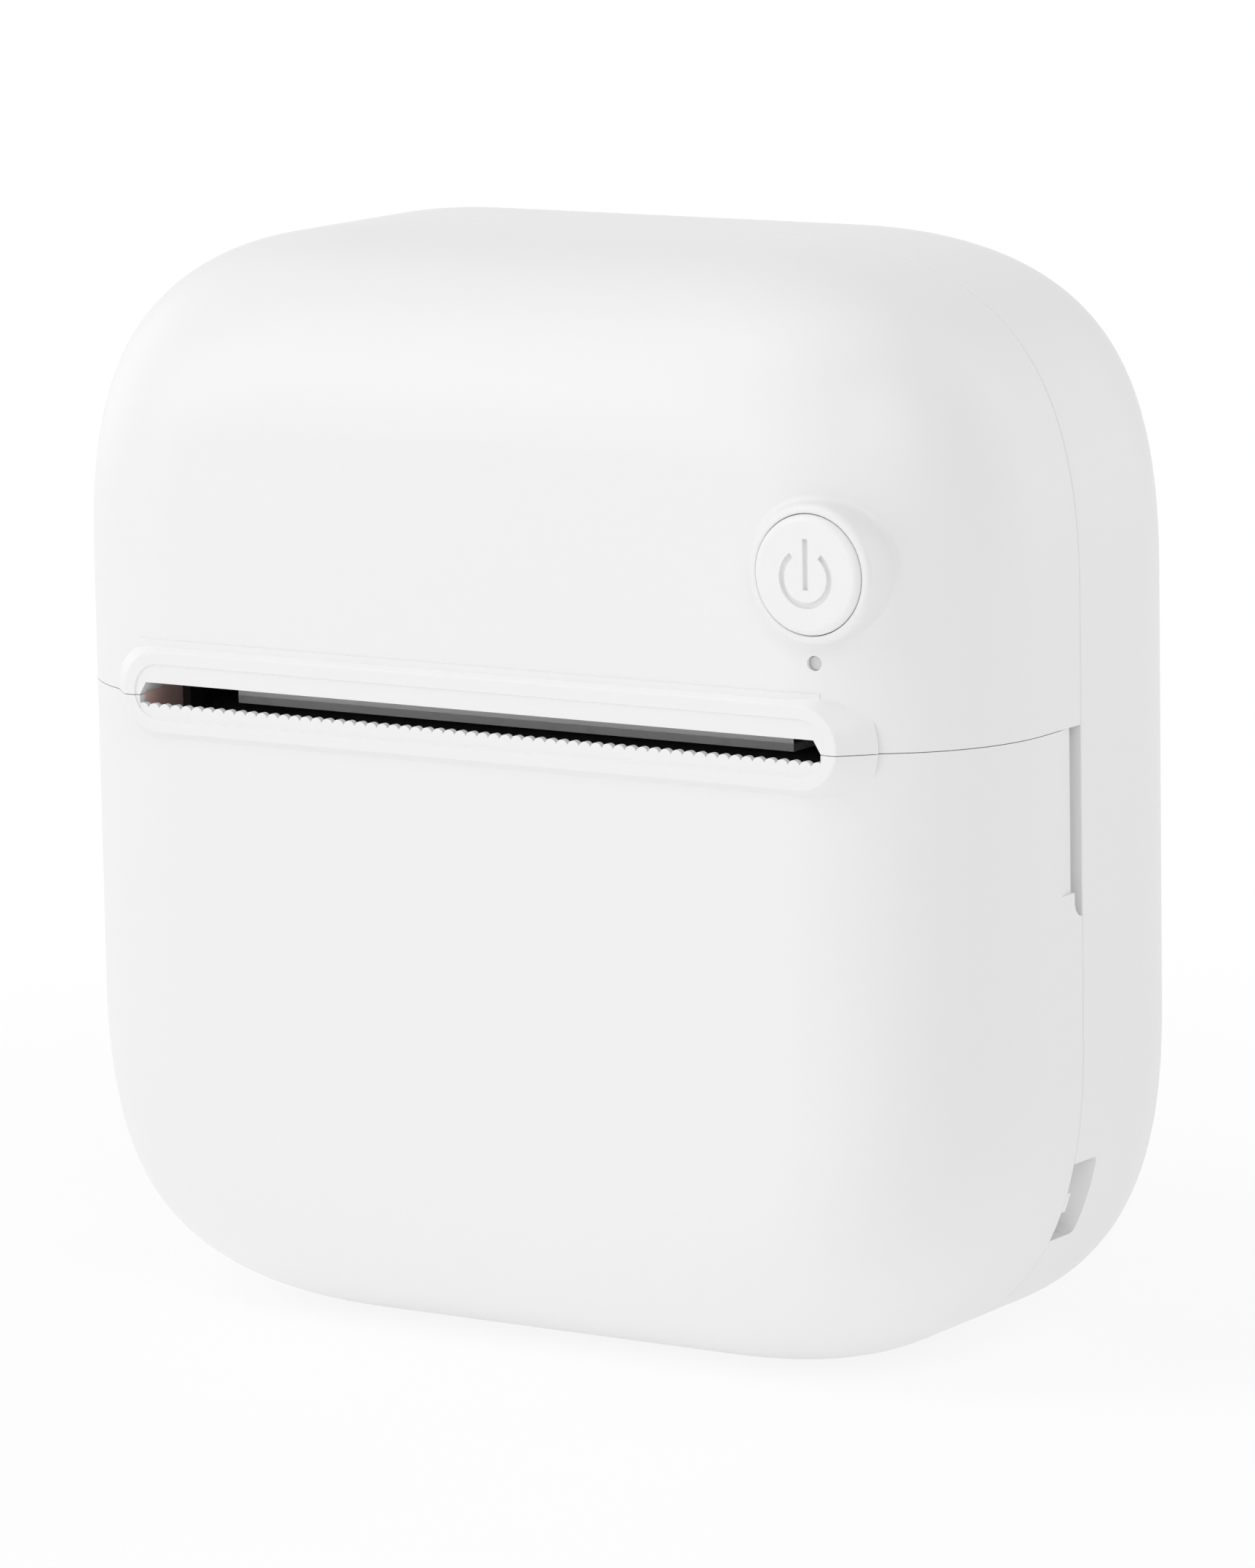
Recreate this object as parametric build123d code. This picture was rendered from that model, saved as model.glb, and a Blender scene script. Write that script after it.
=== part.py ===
"""Pocket thermal printer for 57 mm paper rolls, standing on its base.

Millimetres. +Z is up, the front face looks along -Y and +X is to the right.
The origin is the middle of the flat base. The front has a fixed upper case and a
lower cover, hinged at the base, which carries the rubber platen roller.
"""
import os
from math import atan2, cos, degrees, hypot, pi, radians, sin, sqrt, tan

from build123d import *

# ---- body ----
BODY_WIDTH = 82.0
BODY_HEIGHT = 84.0
BODY_DEPTH = 41.0
CORNER_REACH = 25.0        # length of each side that its rounded corner takes
CORNER_EASE = 0.709        # handle of the corner's curve, as a share of its reach
FRONT_ROUNDING = 14.0
BACK_ROUNDING = 12.5
WALL = 2.0
SEAM_SETBACK = 19.7        # front face to the seam between front and rear cases
UPPER_CASE_HEIGHT = 35.0   # body's top to the line between front case and cover
SEAM_GAP = 0.06
SPLIT_GAP = 0.06
EDGE_SOFTENING = 0.12      # rounding of the cases' outer edges at their gaps
GEAR_SPACE = 11.8          # body's side to the paper bay: frame plate, gears and walls

FRONT_Y = -BODY_DEPTH / 2
BACK_Y = BODY_DEPTH / 2
SEAM_Y = FRONT_Y + SEAM_SETBACK
INNER_FRONT_Y = FRONT_Y + WALL
INNER_BACK_Y = BACK_Y - WALL
SPLIT_HEIGHT = BODY_HEIGHT - UPPER_CASE_HEIGHT
BAY_HALF_WIDTH = BODY_WIDTH / 2 - GEAR_SPACE
FAR = 100.0                # reaches past every piece

# ---- inner rim of the rear case, behind the seam ----
RIM_THICKNESS = 1.0
RIM_CLEARANCE = 0.2
RIM_FORWARD = 2.4
RIM_BACKWARD = 4.0
RIM_ROOT = 0.2             # how far the rim runs into the rear shell

# ---- raised ring round the paper slot, and the slot ----
RING_END = 1.35            # slot's end to the ring's end
RING_HALF_HEIGHT = 3.1
RING_RISE = 0.35           # split line to the ring's middle
RING_PROUD = 0.45
RING_BEAD = 0.95
RING_DISH = 0.14
RING_ROOT = 0.2            # front wall's inner face to the ring's back
RING_SOFTENING = 0.2
DISH_SOFTENING = 0.1
SLOT_OFFSET = 0.4          # slot's middle to the right of the body's middle
SLOT_OVERHANG = 1.1        # how far the slot's half length is over the paper bay's
SLOT_UP = 1.02             # split line to the slot's upper edge
SLOT_DOWN = 0.57           # split line to the tips of the tear teeth
SLOT_END_CHAMFER = 0.6
SLOT_SLOPE = 30.0          # fall of the cover's edge behind the teeth
TOOTH_PITCH = 1.0
TOOTH_HEIGHT = 0.38
TOOTH_DEPTH = 0.5
BAND_TOP = 4.3             # split line to the top of the faint raised band
BAND_PROUD = 0.1
BAND_FADE = 3.0            # length over which each end of the band runs out
BAND_DEPTH = 20.0          # how far back the band's cutting block runs

GUIDE_THICKNESS = 0.7      # brown guide behind the slot's left end
GUIDE_SETBACK = 0.5        # front face to the guide
GUIDE_UP = 1.6             # split line to the guide's top
GUIDE_DOWN = 2.4           # split line to the guide's bottom
GUIDE_GAP = 0.1

GUIDE_FRONT_Y = FRONT_Y + GUIDE_SETBACK
SLOT_HALF_LENGTH = BAY_HALF_WIDTH + SLOT_OVERHANG
RING_HALF_LENGTH = SLOT_HALF_LENGTH + RING_END

# ---- power button and status light ----
BUTTON_INSET = 10.7        # body's side to the button's middle
BUTTON_SHARE = 13.2 / 35     # of the upper case's height, from the split line
BUTTON_RADIUS = 4.42
BUTTON_CLEARANCE = 0.05
BUTTON_PROUD = 1.45
BUTTON_TRAVEL = 0.5
BUTTON_DEPTH = 5.8
BUTTON_FACE_THICKNESS = 1.5
STEM_ROOT = 0.5            # how far the stem runs into the face
BUTTON_SKIRT = 0.8
BUTTON_SOFTENING = 0.55
STEM_RADIUS = 1.2
TAB_WIDTH = 2.0
TAB_REACH = 0.6
TAB_THICKNESS = 0.8
TAB_ANGLES = (80, 150, 215)
COLLAR_WALL = 0.7
COLLAR_PROUD = 1.05
COLLAR_SOFTENING = 0.5     # outer edge
COLLAR_RIM = 0.12          # inner edge
COLLAR_ROOT = 0.6
SYMBOL_RADIUS = 2.0
SYMBOL_DROP = 0.2          # button's middle to the symbol's middle
SYMBOL_STROKE = 0.45
SYMBOL_DEPTH = 0.3
SYMBOL_GAP_ANGLE = 36.0
SYMBOL_BAR_TOP = 2.86
SYMBOL_BAR_BOTTOM = -0.87
LIGHT_OFFSET = 0.4         # button's middle to the light, sideways
LIGHT_DROP = 6.65          # button's middle to the light, downwards
LIGHT_HOLE_RADIUS = 0.55
LIGHT_PIPE_RADIUS = 0.5
LIGHT_PIPE_RECESS = 0.3
LIGHT_PIPE_GAP = 0.45
LIGHT_PIPE_RUN = 2.4       # past the inner face of the front, before the bend
BOARD_DROP = 4.2           # button's middle to the circuit board's lower edge

BUTTON_X = BODY_WIDTH / 2 - BUTTON_INSET
BUTTON_Z = SPLIT_HEIGHT + UPPER_CASE_HEIGHT * BUTTON_SHARE
LIGHT_X = BUTTON_X - LIGHT_OFFSET
LIGHT_Z = BUTTON_Z - LIGHT_DROP
BOARD_BOTTOM = BUTTON_Z - BOARD_DROP

# ---- finger recesses at the cover's upper rear edges ----
RECESS_WIDTH = 1.15
RECESS_HEIGHT = 14.3
RECESS_CORNER = 1.2
BEVEL_WIDTH = 2.15
BEVEL_HEIGHT = 12.4
BEVEL_DEPTH = 0.35
CUT_OVERRUN = 0.01         # bevel's cutting wedge past the body's side

# ---- notches in the rear case's lower front edges ----
NOTCH_WIDTH = 3.4
NOTCH_BOTTOM = 9.7
NOTCH_TOP = 15.8
NOTCH_CORNER = 0.5
NUB_BOTTOM = 12.0
NUB_TOP = 13.5
NUB_REACH = 0.4
NUB_THICKNESS = 1.4

# ---- cover hinge ----
HINGE_SETBACK = 4.5        # seam to the hinge line
HINGE_HEIGHT = 1.6
HINGE_PIN_RADIUS = 0.7
HINGE_PIN_CLEARANCE = 0.05
KNUCKLE_RADIUS = 1.5
HINGE_ARM_INSET = 9.2      # paper bay's side to the arm
HINGE_ARM_WIDTH = 6.0
HINGE_SIDE_GAP = 0.2
HINGE_LUG = 1.8
HINGE_ARM_ROOT = 4.2       # how far the arms run under the cover's floor
HINGE_SWING_GAP = 0.7
FLOOR_LIP = 0.22           # outer skin of the cover's floor that reaches the seam
FLOOR_RELIEF = 0.3         # how far the floor stops short behind that skin
FLOOR_RELIEF_TOP = 3.0

HINGE_Y = SEAM_Y + HINGE_SETBACK
HINGE_Z = HINGE_HEIGHT
HINGE_ARM_OUTER = BAY_HALF_WIDTH - HINGE_ARM_INSET
HINGE_ARM_INNER = HINGE_ARM_OUTER - HINGE_ARM_WIDTH

# ---- platen roller, carried by the cover ----
ROLLER_SETBACK = 9.0       # front face to the roller's axis
ROLLER_DROP = 5.2          # split line to the roller's axis
ROLLER_RADIUS = 4.0
ROLLER_END_GAP = 0.7       # roller's end to the paper bay's side
SHAFT_RADIUS = 2.0
SHAFT_CLEARANCE = 0.03
SHAFT_END = 0.6            # shaft past the left bushing
BUSHING_RADIUS = 2.6
BUSHING_INNER_STEP = 0.2   # bushing past the frame plate's inner face
BUSHING_OUTER_STEP = 1.6   # bushing past the frame plate's outer face
BUSHING_CLEARANCE = 0.1
COVER_ARM_GAP = 0.3        # frame plate to the cover's arm
COVER_ARM_THICKNESS = 1.2
COVER_ARM_RING = 1.3

ROLLER_Y = FRONT_Y + ROLLER_SETBACK
ROLLER_Z = SPLIT_HEIGHT - ROLLER_DROP
ROLLER_HALF_LENGTH = BAY_HALF_WIDTH - ROLLER_END_GAP

# ---- mechanism frame ----
PLATE_THICKNESS = 1.2
FRAME_FRONT_SETBACK = 5.3
FRAME_TOP_GAP = 0.7        # frame's top to the circuit board
FRAME_WEB = 1.2
FRAME_WEB_SETBACK = 16.9
FRAME_BEAM_FRONT = 6.0
FRAME_BEAM_DEPTH = 6.5
FRAME_BEAM_THICKNESS = 1.5
FRAME_FOOT_THICKNESS = 1.2
FRAME_FOOT_REACH = 12.4    # frame's web to its feet's screws
FRAME_NOSE = 3.6           # slope of the side plates' upper front corners
JAW_LENGTH = 1.2
SEAT_FLARE = 8.0

PLATE_INNER = BAY_HALF_WIDTH
PLATE_OUTER = PLATE_INNER + PLATE_THICKNESS
BUSHING_INNER_END = PLATE_INNER - BUSHING_INNER_STEP
BUSHING_OUTER_END = PLATE_OUTER + BUSHING_OUTER_STEP
SHAFT_LEFT_END = BUSHING_OUTER_END + SHAFT_END
COVER_ARM_INNER = PLATE_OUTER + COVER_ARM_GAP
FRAME_FRONT_Y = FRONT_Y + FRAME_FRONT_SETBACK
FRAME_TOP_Z = BOARD_BOTTOM - FRAME_TOP_GAP
FRAME_WEB_Y = FRONT_Y + FRAME_WEB_SETBACK
FRAME_BEAM_Y = FRONT_Y + FRAME_BEAM_FRONT

# ---- gear train ----
MODULE = 0.5
PRESSURE_ANGLE = 20.0
ADDENDUM = 0.8             # in modules
DEDENDUM = 1.25            # in modules
GEAR_BACKLASH = 0.08
GEAR_CENTRE_EXTRA = 0.05
PLATEN_TEETH = 15
IDLER_SMALL_TEETH = 14
IDLER_LARGE_TEETH = 30
PINION_TEETH = 10
GEAR_GAP = 0.3             # bushing to the gears
GEAR_WIDTH = 1.7
LARGE_GEAR_GAP = 0.6
LARGE_GEAR_WIDTH = 1.4
IDLER_ANGLE = 18.5         # from straight back, seen from the right
PINION_ANGLE = 53.3
IDLER_AXLE_RADIUS = 1.0
AXLE_CLEARANCE = 0.03
AXLE_HEAD_RADIUS = 1.8
AXLE_HEAD = 0.5
AXLE_HEAD_GAP = 0.15
MOTOR_RADIUS = 7.0
MOTOR_LENGTH = 10.5
MOTOR_SHAFT_RADIUS = 1.0
MOTOR_SHAFT_DEPTH = 8.0
MOTOR_FLANGE = 1.4

GEAR_START_X = BUSHING_OUTER_END + GEAR_GAP

# ---- print head ----
HEAD_END_GAP = 4.35        # head's end to the paper bay's side
HEAD_FRONT_SETBACK = 5.55
HEAD_DEPTH = 7.5
HEAD_GAP = 0.1             # roller to print head
SUBSTRATE_DEPTH = 6.0
SUBSTRATE_THICKNESS = 0.6
HEAD_PLATE_THICKNESS = 2.1
HEAD_PIVOT_SETBACK = 14.1
HEAD_PIVOT_RISE = 2.2      # above the roller's top
HEAD_PIN_RADIUS = 0.8
HEAD_PIN_CLEARANCE = 0.04
HEAD_EAR_RADIUS = 1.8
HEAD_EAR_INNER = 14.0
HEAD_EAR_WIDTH = 2.0
SPRING_X = 13.0
SPRING_SETBACK = 9.5
SPRING_RADIUS = 1.7
SPRING_WIRE = 0.3
SPRING_TURNS = 5
SPRING_GAP = 0.05

HEAD_HALF_WIDTH = BAY_HALF_WIDTH - HEAD_END_GAP
HEAD_BOTTOM_Z = ROLLER_Z + ROLLER_RADIUS + HEAD_GAP
HEAD_FRONT_Y = FRONT_Y + HEAD_FRONT_SETBACK
HEAD_PLATE_Z = HEAD_BOTTOM_Z + SUBSTRATE_THICKNESS
HEAD_TOP_Z = HEAD_PLATE_Z + HEAD_PLATE_THICKNESS
HEAD_PIVOT_Y = FRONT_Y + HEAD_PIVOT_SETBACK
HEAD_PIVOT_Z = ROLLER_Z + ROLLER_RADIUS + HEAD_PIVOT_RISE

# ---- paper cradle ----
CRADLE_WALL = 1.2
TROUGH_RADIUS = 16.0
TROUGH_FLOOR = 8.0         # base to the trough's lowest point
TROUGH_BACK_SETBACK = 20.2 # back face to the trough's axis
TROUGH_REAR_DROP = 3.0     # shelf's underside to the trough's rear edge
TROUGH_FRONT_ANGLE = -128.0
CRADLE_MARGIN = 0.4
SHELF_FRONT_SETBACK = 17.5
SHELF_REAR_MARGIN = 3.0    # frame's foot screws to the shelf's rear edge
SHELF_DROP = 9.2           # split line to the shelf's underside
SHELF_THICKNESS = 1.2

TROUGH_Y = BACK_Y - TROUGH_BACK_SETBACK
TROUGH_HEIGHT = TROUGH_FLOOR + TROUGH_RADIUS
SHELF_Y = FRONT_Y + SHELF_FRONT_SETBACK
FOOT_Y = FRAME_WEB_Y + FRAME_FOOT_REACH
SHELF_REAR_Y = FOOT_Y + SHELF_REAR_MARGIN
SHELF_HEIGHT = SPLIT_HEIGHT - SHELF_DROP
SHELF_TOP_Z = SHELF_HEIGHT + SHELF_THICKNESS
TROUGH_REAR_ANGLE = degrees(atan2(SHELF_HEIGHT - TROUGH_REAR_DROP - TROUGH_HEIGHT, SHELF_REAR_Y - TROUGH_Y))

# ---- screws ----
SCREW_RADIUS = 0.95
SCREW_LENGTH = 14.0
SCREW_HEAD_RADIUS = 1.9
SCREW_HEAD = 1.5
SCREW_CLEARANCE = 0.02
SMALL_SCREW_RADIUS = 0.75
SMALL_SCREW_LENGTH = 3.4
SMALL_SCREW_HEAD_RADIUS = 1.5
SMALL_SCREW_HEAD = 0.9
DRIVE_SLOT = 0.45
DRIVE_SHARE = 0.6          # of the head's radius
DRIVE_DEPTH = 0.5
BOSS_RADIUS = 3.0
BOSS_MEETING_GAP = 0.2
COUNTERBORE_CLEARANCE = 0.25
UPPER_SCREW_INSET = 14.0   # body's side to the screw
UPPER_SCREW_DROP = 12.0    # body's top to the screw
UPPER_SCREW_SEAT = 14.5    # back face to the seat under the screw's head
BOSS_FLOOR = 6.0           # boss ahead of the seat
LOWER_SCREW_INSET = 7.4    # body's side to the screw
LOWER_SCREW_Z = 17.0
LOWER_SCREW_SEAT = 11.5
LOWER_BOSS_FLOOR = 3.0
CRADLE_BOSS_RADIUS = 2.4
CRADLE_BOSS_LENGTH = 12.0
BOSS_ROOT = 0.5            # how far the front bosses run into the front wall
PILOT_RUN = 1.0            # hole past the screw's tip

UPPER_SCREW_X = BODY_WIDTH / 2 - UPPER_SCREW_INSET
UPPER_SCREW_Z = BODY_HEIGHT - UPPER_SCREW_DROP
LOWER_SCREW_X = BODY_WIDTH / 2 - LOWER_SCREW_INSET
UPPER_SEAT_Y = BACK_Y - UPPER_SCREW_SEAT
LOWER_SEAT_Y = BACK_Y - LOWER_SCREW_SEAT
FRONT_BOSS_END = UPPER_SEAT_Y - BOSS_FLOOR - BOSS_MEETING_GAP
PILOT_END = UPPER_SEAT_Y - SCREW_LENGTH - PILOT_RUN

# ---- back panel ----
PANEL_SIDE_MARGIN = 19.0   # body's side to the panel
PANEL_END_MARGIN = 27.0    # body's top and base to the panel
PANEL_CORNER = 3.0
PANEL_DEPTH = 0.4

PANEL_WIDTH = BODY_WIDTH - 2 * PANEL_SIDE_MARGIN
PANEL_HEIGHT = BODY_HEIGHT - 2 * PANEL_END_MARGIN

# ---- circuit board and what it carries ----
BOARD_SETBACK = 7.3        # front face to the board's front
BOARD_THICKNESS = 1.2
BOARD_MARGIN = 3.2         # body surface to the board's edge
POST_RADIUS = 1.8
BOSS_HOLE_GAP = 0.3        # case bosses to the board
UPPER_POST_INSET = 23.0    # body's side to the upper posts
UPPER_POST_DROP = 9.0      # body's top to the upper posts
LEFT_POST_INSET = 15.0     # body's side to the lower left post
RIGHT_POST_X = 16.0
LOWER_POST_RISE = 3.5      # board's lower edge to the lower posts
LED_RISE = 0.8             # board's lower edge to the status light
LED_SIZE = 0.9
LED_HEIGHT = 0.6
SWITCH_SIZE = 4.6
SWITCH_HEIGHT = 3.4
SWITCH_PLUNGER_RADIUS = 1.6
SWITCH_PLUNGER = 1.0
USB_DROP = 17.5            # body's top to the socket
USB_WIDTH = 8.94
USB_HEIGHT = 3.2
USB_LENGTH = 7.3
USB_WALL = 0.3
USB_RECESS = 2.4           # side face to the socket's mouth
USB_HOLE_CLEARANCE = 0.3

BOARD_FRONT_Y = FRONT_Y + BOARD_SETBACK
BOARD_BACK_Y = BOARD_FRONT_Y + BOARD_THICKNESS
UPPER_POST_X = BODY_WIDTH / 2 - UPPER_POST_INSET
UPPER_POST_Z = BODY_HEIGHT - UPPER_POST_DROP
LOWER_POST_Z = BOARD_BOTTOM + LOWER_POST_RISE
POST_PLACES = (
    (-UPPER_POST_X, UPPER_POST_Z),
    (UPPER_POST_X, UPPER_POST_Z),
    (LEFT_POST_INSET - BODY_WIDTH / 2, LOWER_POST_Z),
    (RIGHT_POST_X, LOWER_POST_Z),
)
LED_Z = BOARD_BOTTOM + LED_RISE
USB_Z = BODY_HEIGHT - USB_DROP
PLUNGER_FRONT_Y = BOARD_FRONT_Y - SWITCH_HEIGHT - SWITCH_PLUNGER / 2

# ---- battery ----
BATTERY_END_GAP = 5.2      # battery's end to the paper bay's side
BATTERY_MOTOR_GAP = 3.77   # motor's can to the battery
BATTERY_SHELF_GAP = 1.0    # shelf to the battery
BATTERY_HEIGHT = 26.0
BATTERY_BACK_GAP = 0.3
LEAD_RADIUS = 0.5
BATTERY_LEAD_INSET = 4.5   # battery's end to its leads
BATTERY_LEAD_SPACING = 1.8
LEAD_RISE = 3.0
LEAD_BEND = 1.2
CONNECTOR_SIZE = 3.5
CONNECTOR_HEIGHT = 3.0
CONNECTOR_RISE = 1.5       # battery's top to its connector's top
MOTOR_LEAD_X = 11.0
MOTOR_LEAD_RISE = 2.5      # board's lower edge to the motor's connector
MOTOR_LEAD_LIFT = 4.9      # motor's axis to its leads
MOTOR_LEAD_RUN = 4.5       # forward run of the leads' slope
MOTOR_LEAD_SPACING = 0.9
MOTOR_LEAD_RADIUS = 0.3
RIBBON_X = -3.0
RIBBON_RISE = 2.2          # board's lower edge to the ribbon's connector
RIBBON_WIDTH = 16.0
RIBBON_THICKNESS = 0.15
RIBBON_CLEARANCE = 0.5
RIBBON_FOOT = 2.6
RIBBON_BEND = 1.0
RIBBON_CONNECTOR = 2.6
WIRELESS_X = (-12.0, -1.0)
WIRELESS_RISE = (4.5, 16.0)  # board's lower edge to the module's two ends
WIRELESS_HEIGHT = 1.8
CHIP_X = (5.0, 12.0)
CHIP_RISE = (7.5, 14.5)    # board's lower edge to the chip's two ends
CHIP_HEIGHT = 0.9
SENSOR_WIDTH = 4.0
SENSOR_DEPTH = 1.6
SENSOR_HEIGHT = 3.0

BATTERY_HALF_WIDTH = BAY_HALF_WIDTH - BATTERY_END_GAP
BATTERY_BOTTOM = SHELF_TOP_Z + BATTERY_SHELF_GAP
BATTERY_TOP = BATTERY_BOTTOM + BATTERY_HEIGHT
BATTERY_LEAD_X = BATTERY_LEAD_INSET - BATTERY_HALF_WIDTH
CONNECTOR_TOP = BATTERY_TOP + CONNECTOR_RISE
MOTOR_LEAD_Z = BOARD_BOTTOM + MOTOR_LEAD_RISE
RIBBON_Z = BOARD_BOTTOM + RIBBON_RISE
WIRELESS_Z = tuple(BOARD_BOTTOM + rise for rise in WIRELESS_RISE)
CHIP_Z = tuple(BOARD_BOTTOM + rise for rise in CHIP_RISE)


# ---------------------------------------------------------------- helpers

def block(x, y, z):
    """A box between two x, two y and two z values."""
    middle = Pos((x[0] + x[1]) / 2, (y[0] + y[1]) / 2, (z[0] + z[1]) / 2)
    return middle * Box(x[1] - x[0], y[1] - y[0], z[1] - z[0])


def rod_x(x, y, z, radius):
    """A cylinder along X between two x values."""
    return Pos((x[0] + x[1]) / 2, y, z) * Rot(0, 90, 0) * Cylinder(radius, x[1] - x[0])


def rod_y(x, y, z, radius):
    """A cylinder along Y between two y values."""
    return Pos(x, (y[0] + y[1]) / 2, z) * Rot(90, 0, 0) * Cylinder(radius, y[1] - y[0])


def rod_z(x, y, z, radius):
    """A cylinder along Z between two z values."""
    return Pos(x, y, (z[0] + z[1]) / 2) * Cylinder(radius, z[1] - z[0])


def plate_x(x, points):
    """A plate between two x values, its outline given as (y, z) points."""
    outline = Polyline(*[(x[0], y, z) for y, z in points], close=True)
    return extrude(make_face(outline), x[1] - x[0], dir=(1, 0, 0))


def plate_y(y, points):
    """A plate between two y values, its outline given as (x, z) points."""
    outline = Polyline(*[(px, y[0], z) for px, z in points], close=True)
    return extrude(make_face(outline), y[1] - y[0], dir=(0, 1, 0))


def mirrored(shape):
    """The same shape on the other side of the middle plane."""
    return mirror(shape, about=Plane.YZ)


def both_sides(shape):
    """A shape together with its mirror image."""
    return shape + mirrored(shape)


def lead(points, bend, radius):
    """A wire of round section along straight runs joined by bends."""
    path = FilletPolyline(*points, radius=bend)
    section = Plane(path @ 0, z_dir=path % 0) * Circle(radius)
    return sweep(section, path=path)


def screw_y(x, seat_y, z):
    """A pan-head case screw driven from the back, its head resting on seat_y."""
    head = rod_y(x, (seat_y, seat_y + SCREW_HEAD), z, SCREW_HEAD_RADIUS)
    head = fillet(head.edges().group_by(Axis.Y)[-1], SCREW_HEAD / 3)
    reach = SCREW_HEAD_RADIUS * DRIVE_SHARE
    top = (seat_y + SCREW_HEAD - DRIVE_DEPTH, seat_y + SCREW_HEAD + 1)
    arm = DRIVE_SLOT / 2
    cross = block((x - reach, x + reach), top, (z - arm, z + arm))
    cross += block((x - arm, x + arm), top, (z - reach, z + reach))
    return head + rod_y(x, (seat_y - SCREW_LENGTH, seat_y), z, SCREW_RADIUS) - cross


def small_screw():
    """A short screw along +Z with the underside of its head at the origin."""
    head = Pos(0, 0, SMALL_SCREW_HEAD / 2) * Cylinder(SMALL_SCREW_HEAD_RADIUS, SMALL_SCREW_HEAD)
    head = fillet(head.edges().group_by(Axis.Z)[-1], SMALL_SCREW_HEAD / 3)
    shank = Pos(0, 0, -SMALL_SCREW_LENGTH / 2) * Cylinder(SMALL_SCREW_RADIUS, SMALL_SCREW_LENGTH)
    reach = 2 * SMALL_SCREW_HEAD_RADIUS * DRIVE_SHARE
    cross = Box(reach, DRIVE_SLOT, DRIVE_DEPTH * 2) + Box(DRIVE_SLOT, reach, DRIVE_DEPTH * 2)
    return head + shank - Pos(0, 0, SMALL_SCREW_HEAD) * cross


# ---------------------------------------------------------------- body skins

def pillow(inset):
    """The body's outer shape with every face moved in by inset."""
    half_width = BODY_WIDTH / 2 - inset
    bottom, top = inset, BODY_HEIGHT - inset
    reach = CORNER_REACH - inset
    ease = reach * CORNER_EASE
    y = FRONT_Y + inset
    corners = []
    for side_x, side_z in ((1, 1), (-1, 1), (-1, -1), (1, -1)):
        edge_x = side_x * half_width
        edge_z = top if side_z > 0 else bottom
        curve = [
            (edge_x, y, edge_z - side_z * reach),
            (edge_x, y, edge_z - side_z * (reach - ease)),
            (edge_x - side_x * (reach - ease), y, edge_z),
            (edge_x - side_x * reach, y, edge_z),
        ]
        if side_x * side_z < 0:
            curve.reverse()
        corners.append(curve)
    edges = []
    for curve, following in zip(corners, corners[1:] + corners[:1]):
        edges.append(Bezier(*curve))
        edges.append(Line(curve[-1], following[0]))
    solid = extrude(make_face(edges), BODY_DEPTH - 2 * inset, dir=(0, 1, 0))
    solid = fillet(solid.edges().group_by(Axis.Y)[0], FRONT_ROUNDING - inset)
    return fillet(solid.edges().group_by(Axis.Y)[-1], BACK_ROUNDING - inset)


OUTER = pillow(0)
INNER = pillow(WALL)


def stadium(half_length, half_height, y):
    """A stadium-shaped face round the paper slot's middle."""
    face = Plane.XZ * SlotOverall(2 * half_length, 2 * half_height)
    return Pos(SLOT_OFFSET, y, SPLIT_HEIGHT + RING_RISE) * face


def slot_ring():
    """The raised bead round the paper slot, with sides at 45 degrees and a dished middle."""
    top, root = FRONT_Y - RING_PROUD, INNER_FRONT_Y - RING_ROOT
    spread = root - top
    outer = stadium(RING_HALF_LENGTH + spread, RING_HALF_HEIGHT + spread, root)
    pad = loft([stadium(RING_HALF_LENGTH, RING_HALF_HEIGHT, top), outer], ruled=True)
    pad = fillet(pad.edges().group_by(Axis.Y)[0], RING_SOFTENING)
    dish = stadium(RING_HALF_LENGTH - RING_BEAD, RING_HALF_HEIGHT - RING_BEAD, top - 1)
    dish = extrude(dish, 1 + RING_DISH, dir=(0, 1, 0))
    dish = fillet(dish.edges().group_by(Axis.Y)[-1], DISH_SOFTENING)
    return pad - dish


def paper_slot():
    """The opening between the upper lip and the tips of the tear teeth."""
    low = SPLIT_HEIGHT - SLOT_DOWN - TOOTH_HEIGHT
    middle = SPLIT_HEIGHT + SPLIT_GAP / 2
    high = SPLIT_HEIGHT + SLOT_UP
    half = SLOT_HALF_LENGTH
    inner = half - SLOT_END_CHAMFER
    outline = [(-half, low), (half, low), (half, middle), (inner, high), (-inner, high), (-half, middle)]
    return Pos(SLOT_OFFSET, 0, 0) * plate_y((FRONT_Y - RING_PROUD - 1, INNER_FRONT_Y + 1), outline)


def slot_slope():
    """The fall of the cover's edge from the tear teeth to the inside."""
    low = SPLIT_HEIGHT - SLOT_DOWN - TOOTH_HEIGHT
    start, end = FRONT_Y - RING_PROUD + RING_DISH + TOOTH_DEPTH, INNER_FRONT_Y + 1
    foot = low - (end - start) * tan(radians(SLOT_SLOPE))
    x = (SLOT_OFFSET - SLOT_HALF_LENGTH, SLOT_OFFSET + SLOT_HALF_LENGTH)
    return plate_x(x, [(start, low), (start, SPLIT_HEIGHT), (end, SPLIT_HEIGHT), (end, foot)])


def guide_pocket():
    """The room for the edge guide, in the case and the cover behind the slot's left end."""
    end = SLOT_OFFSET - SLOT_HALF_LENGTH
    x = (end - GUIDE_THICKNESS - GUIDE_GAP, end + GUIDE_GAP)
    z = (SPLIT_HEIGHT - GUIDE_DOWN - GUIDE_GAP, SPLIT_HEIGHT + GUIDE_UP + GUIDE_GAP)
    return block(x, (GUIDE_FRONT_Y - GUIDE_GAP, FRAME_FRONT_Y), z)


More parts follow.
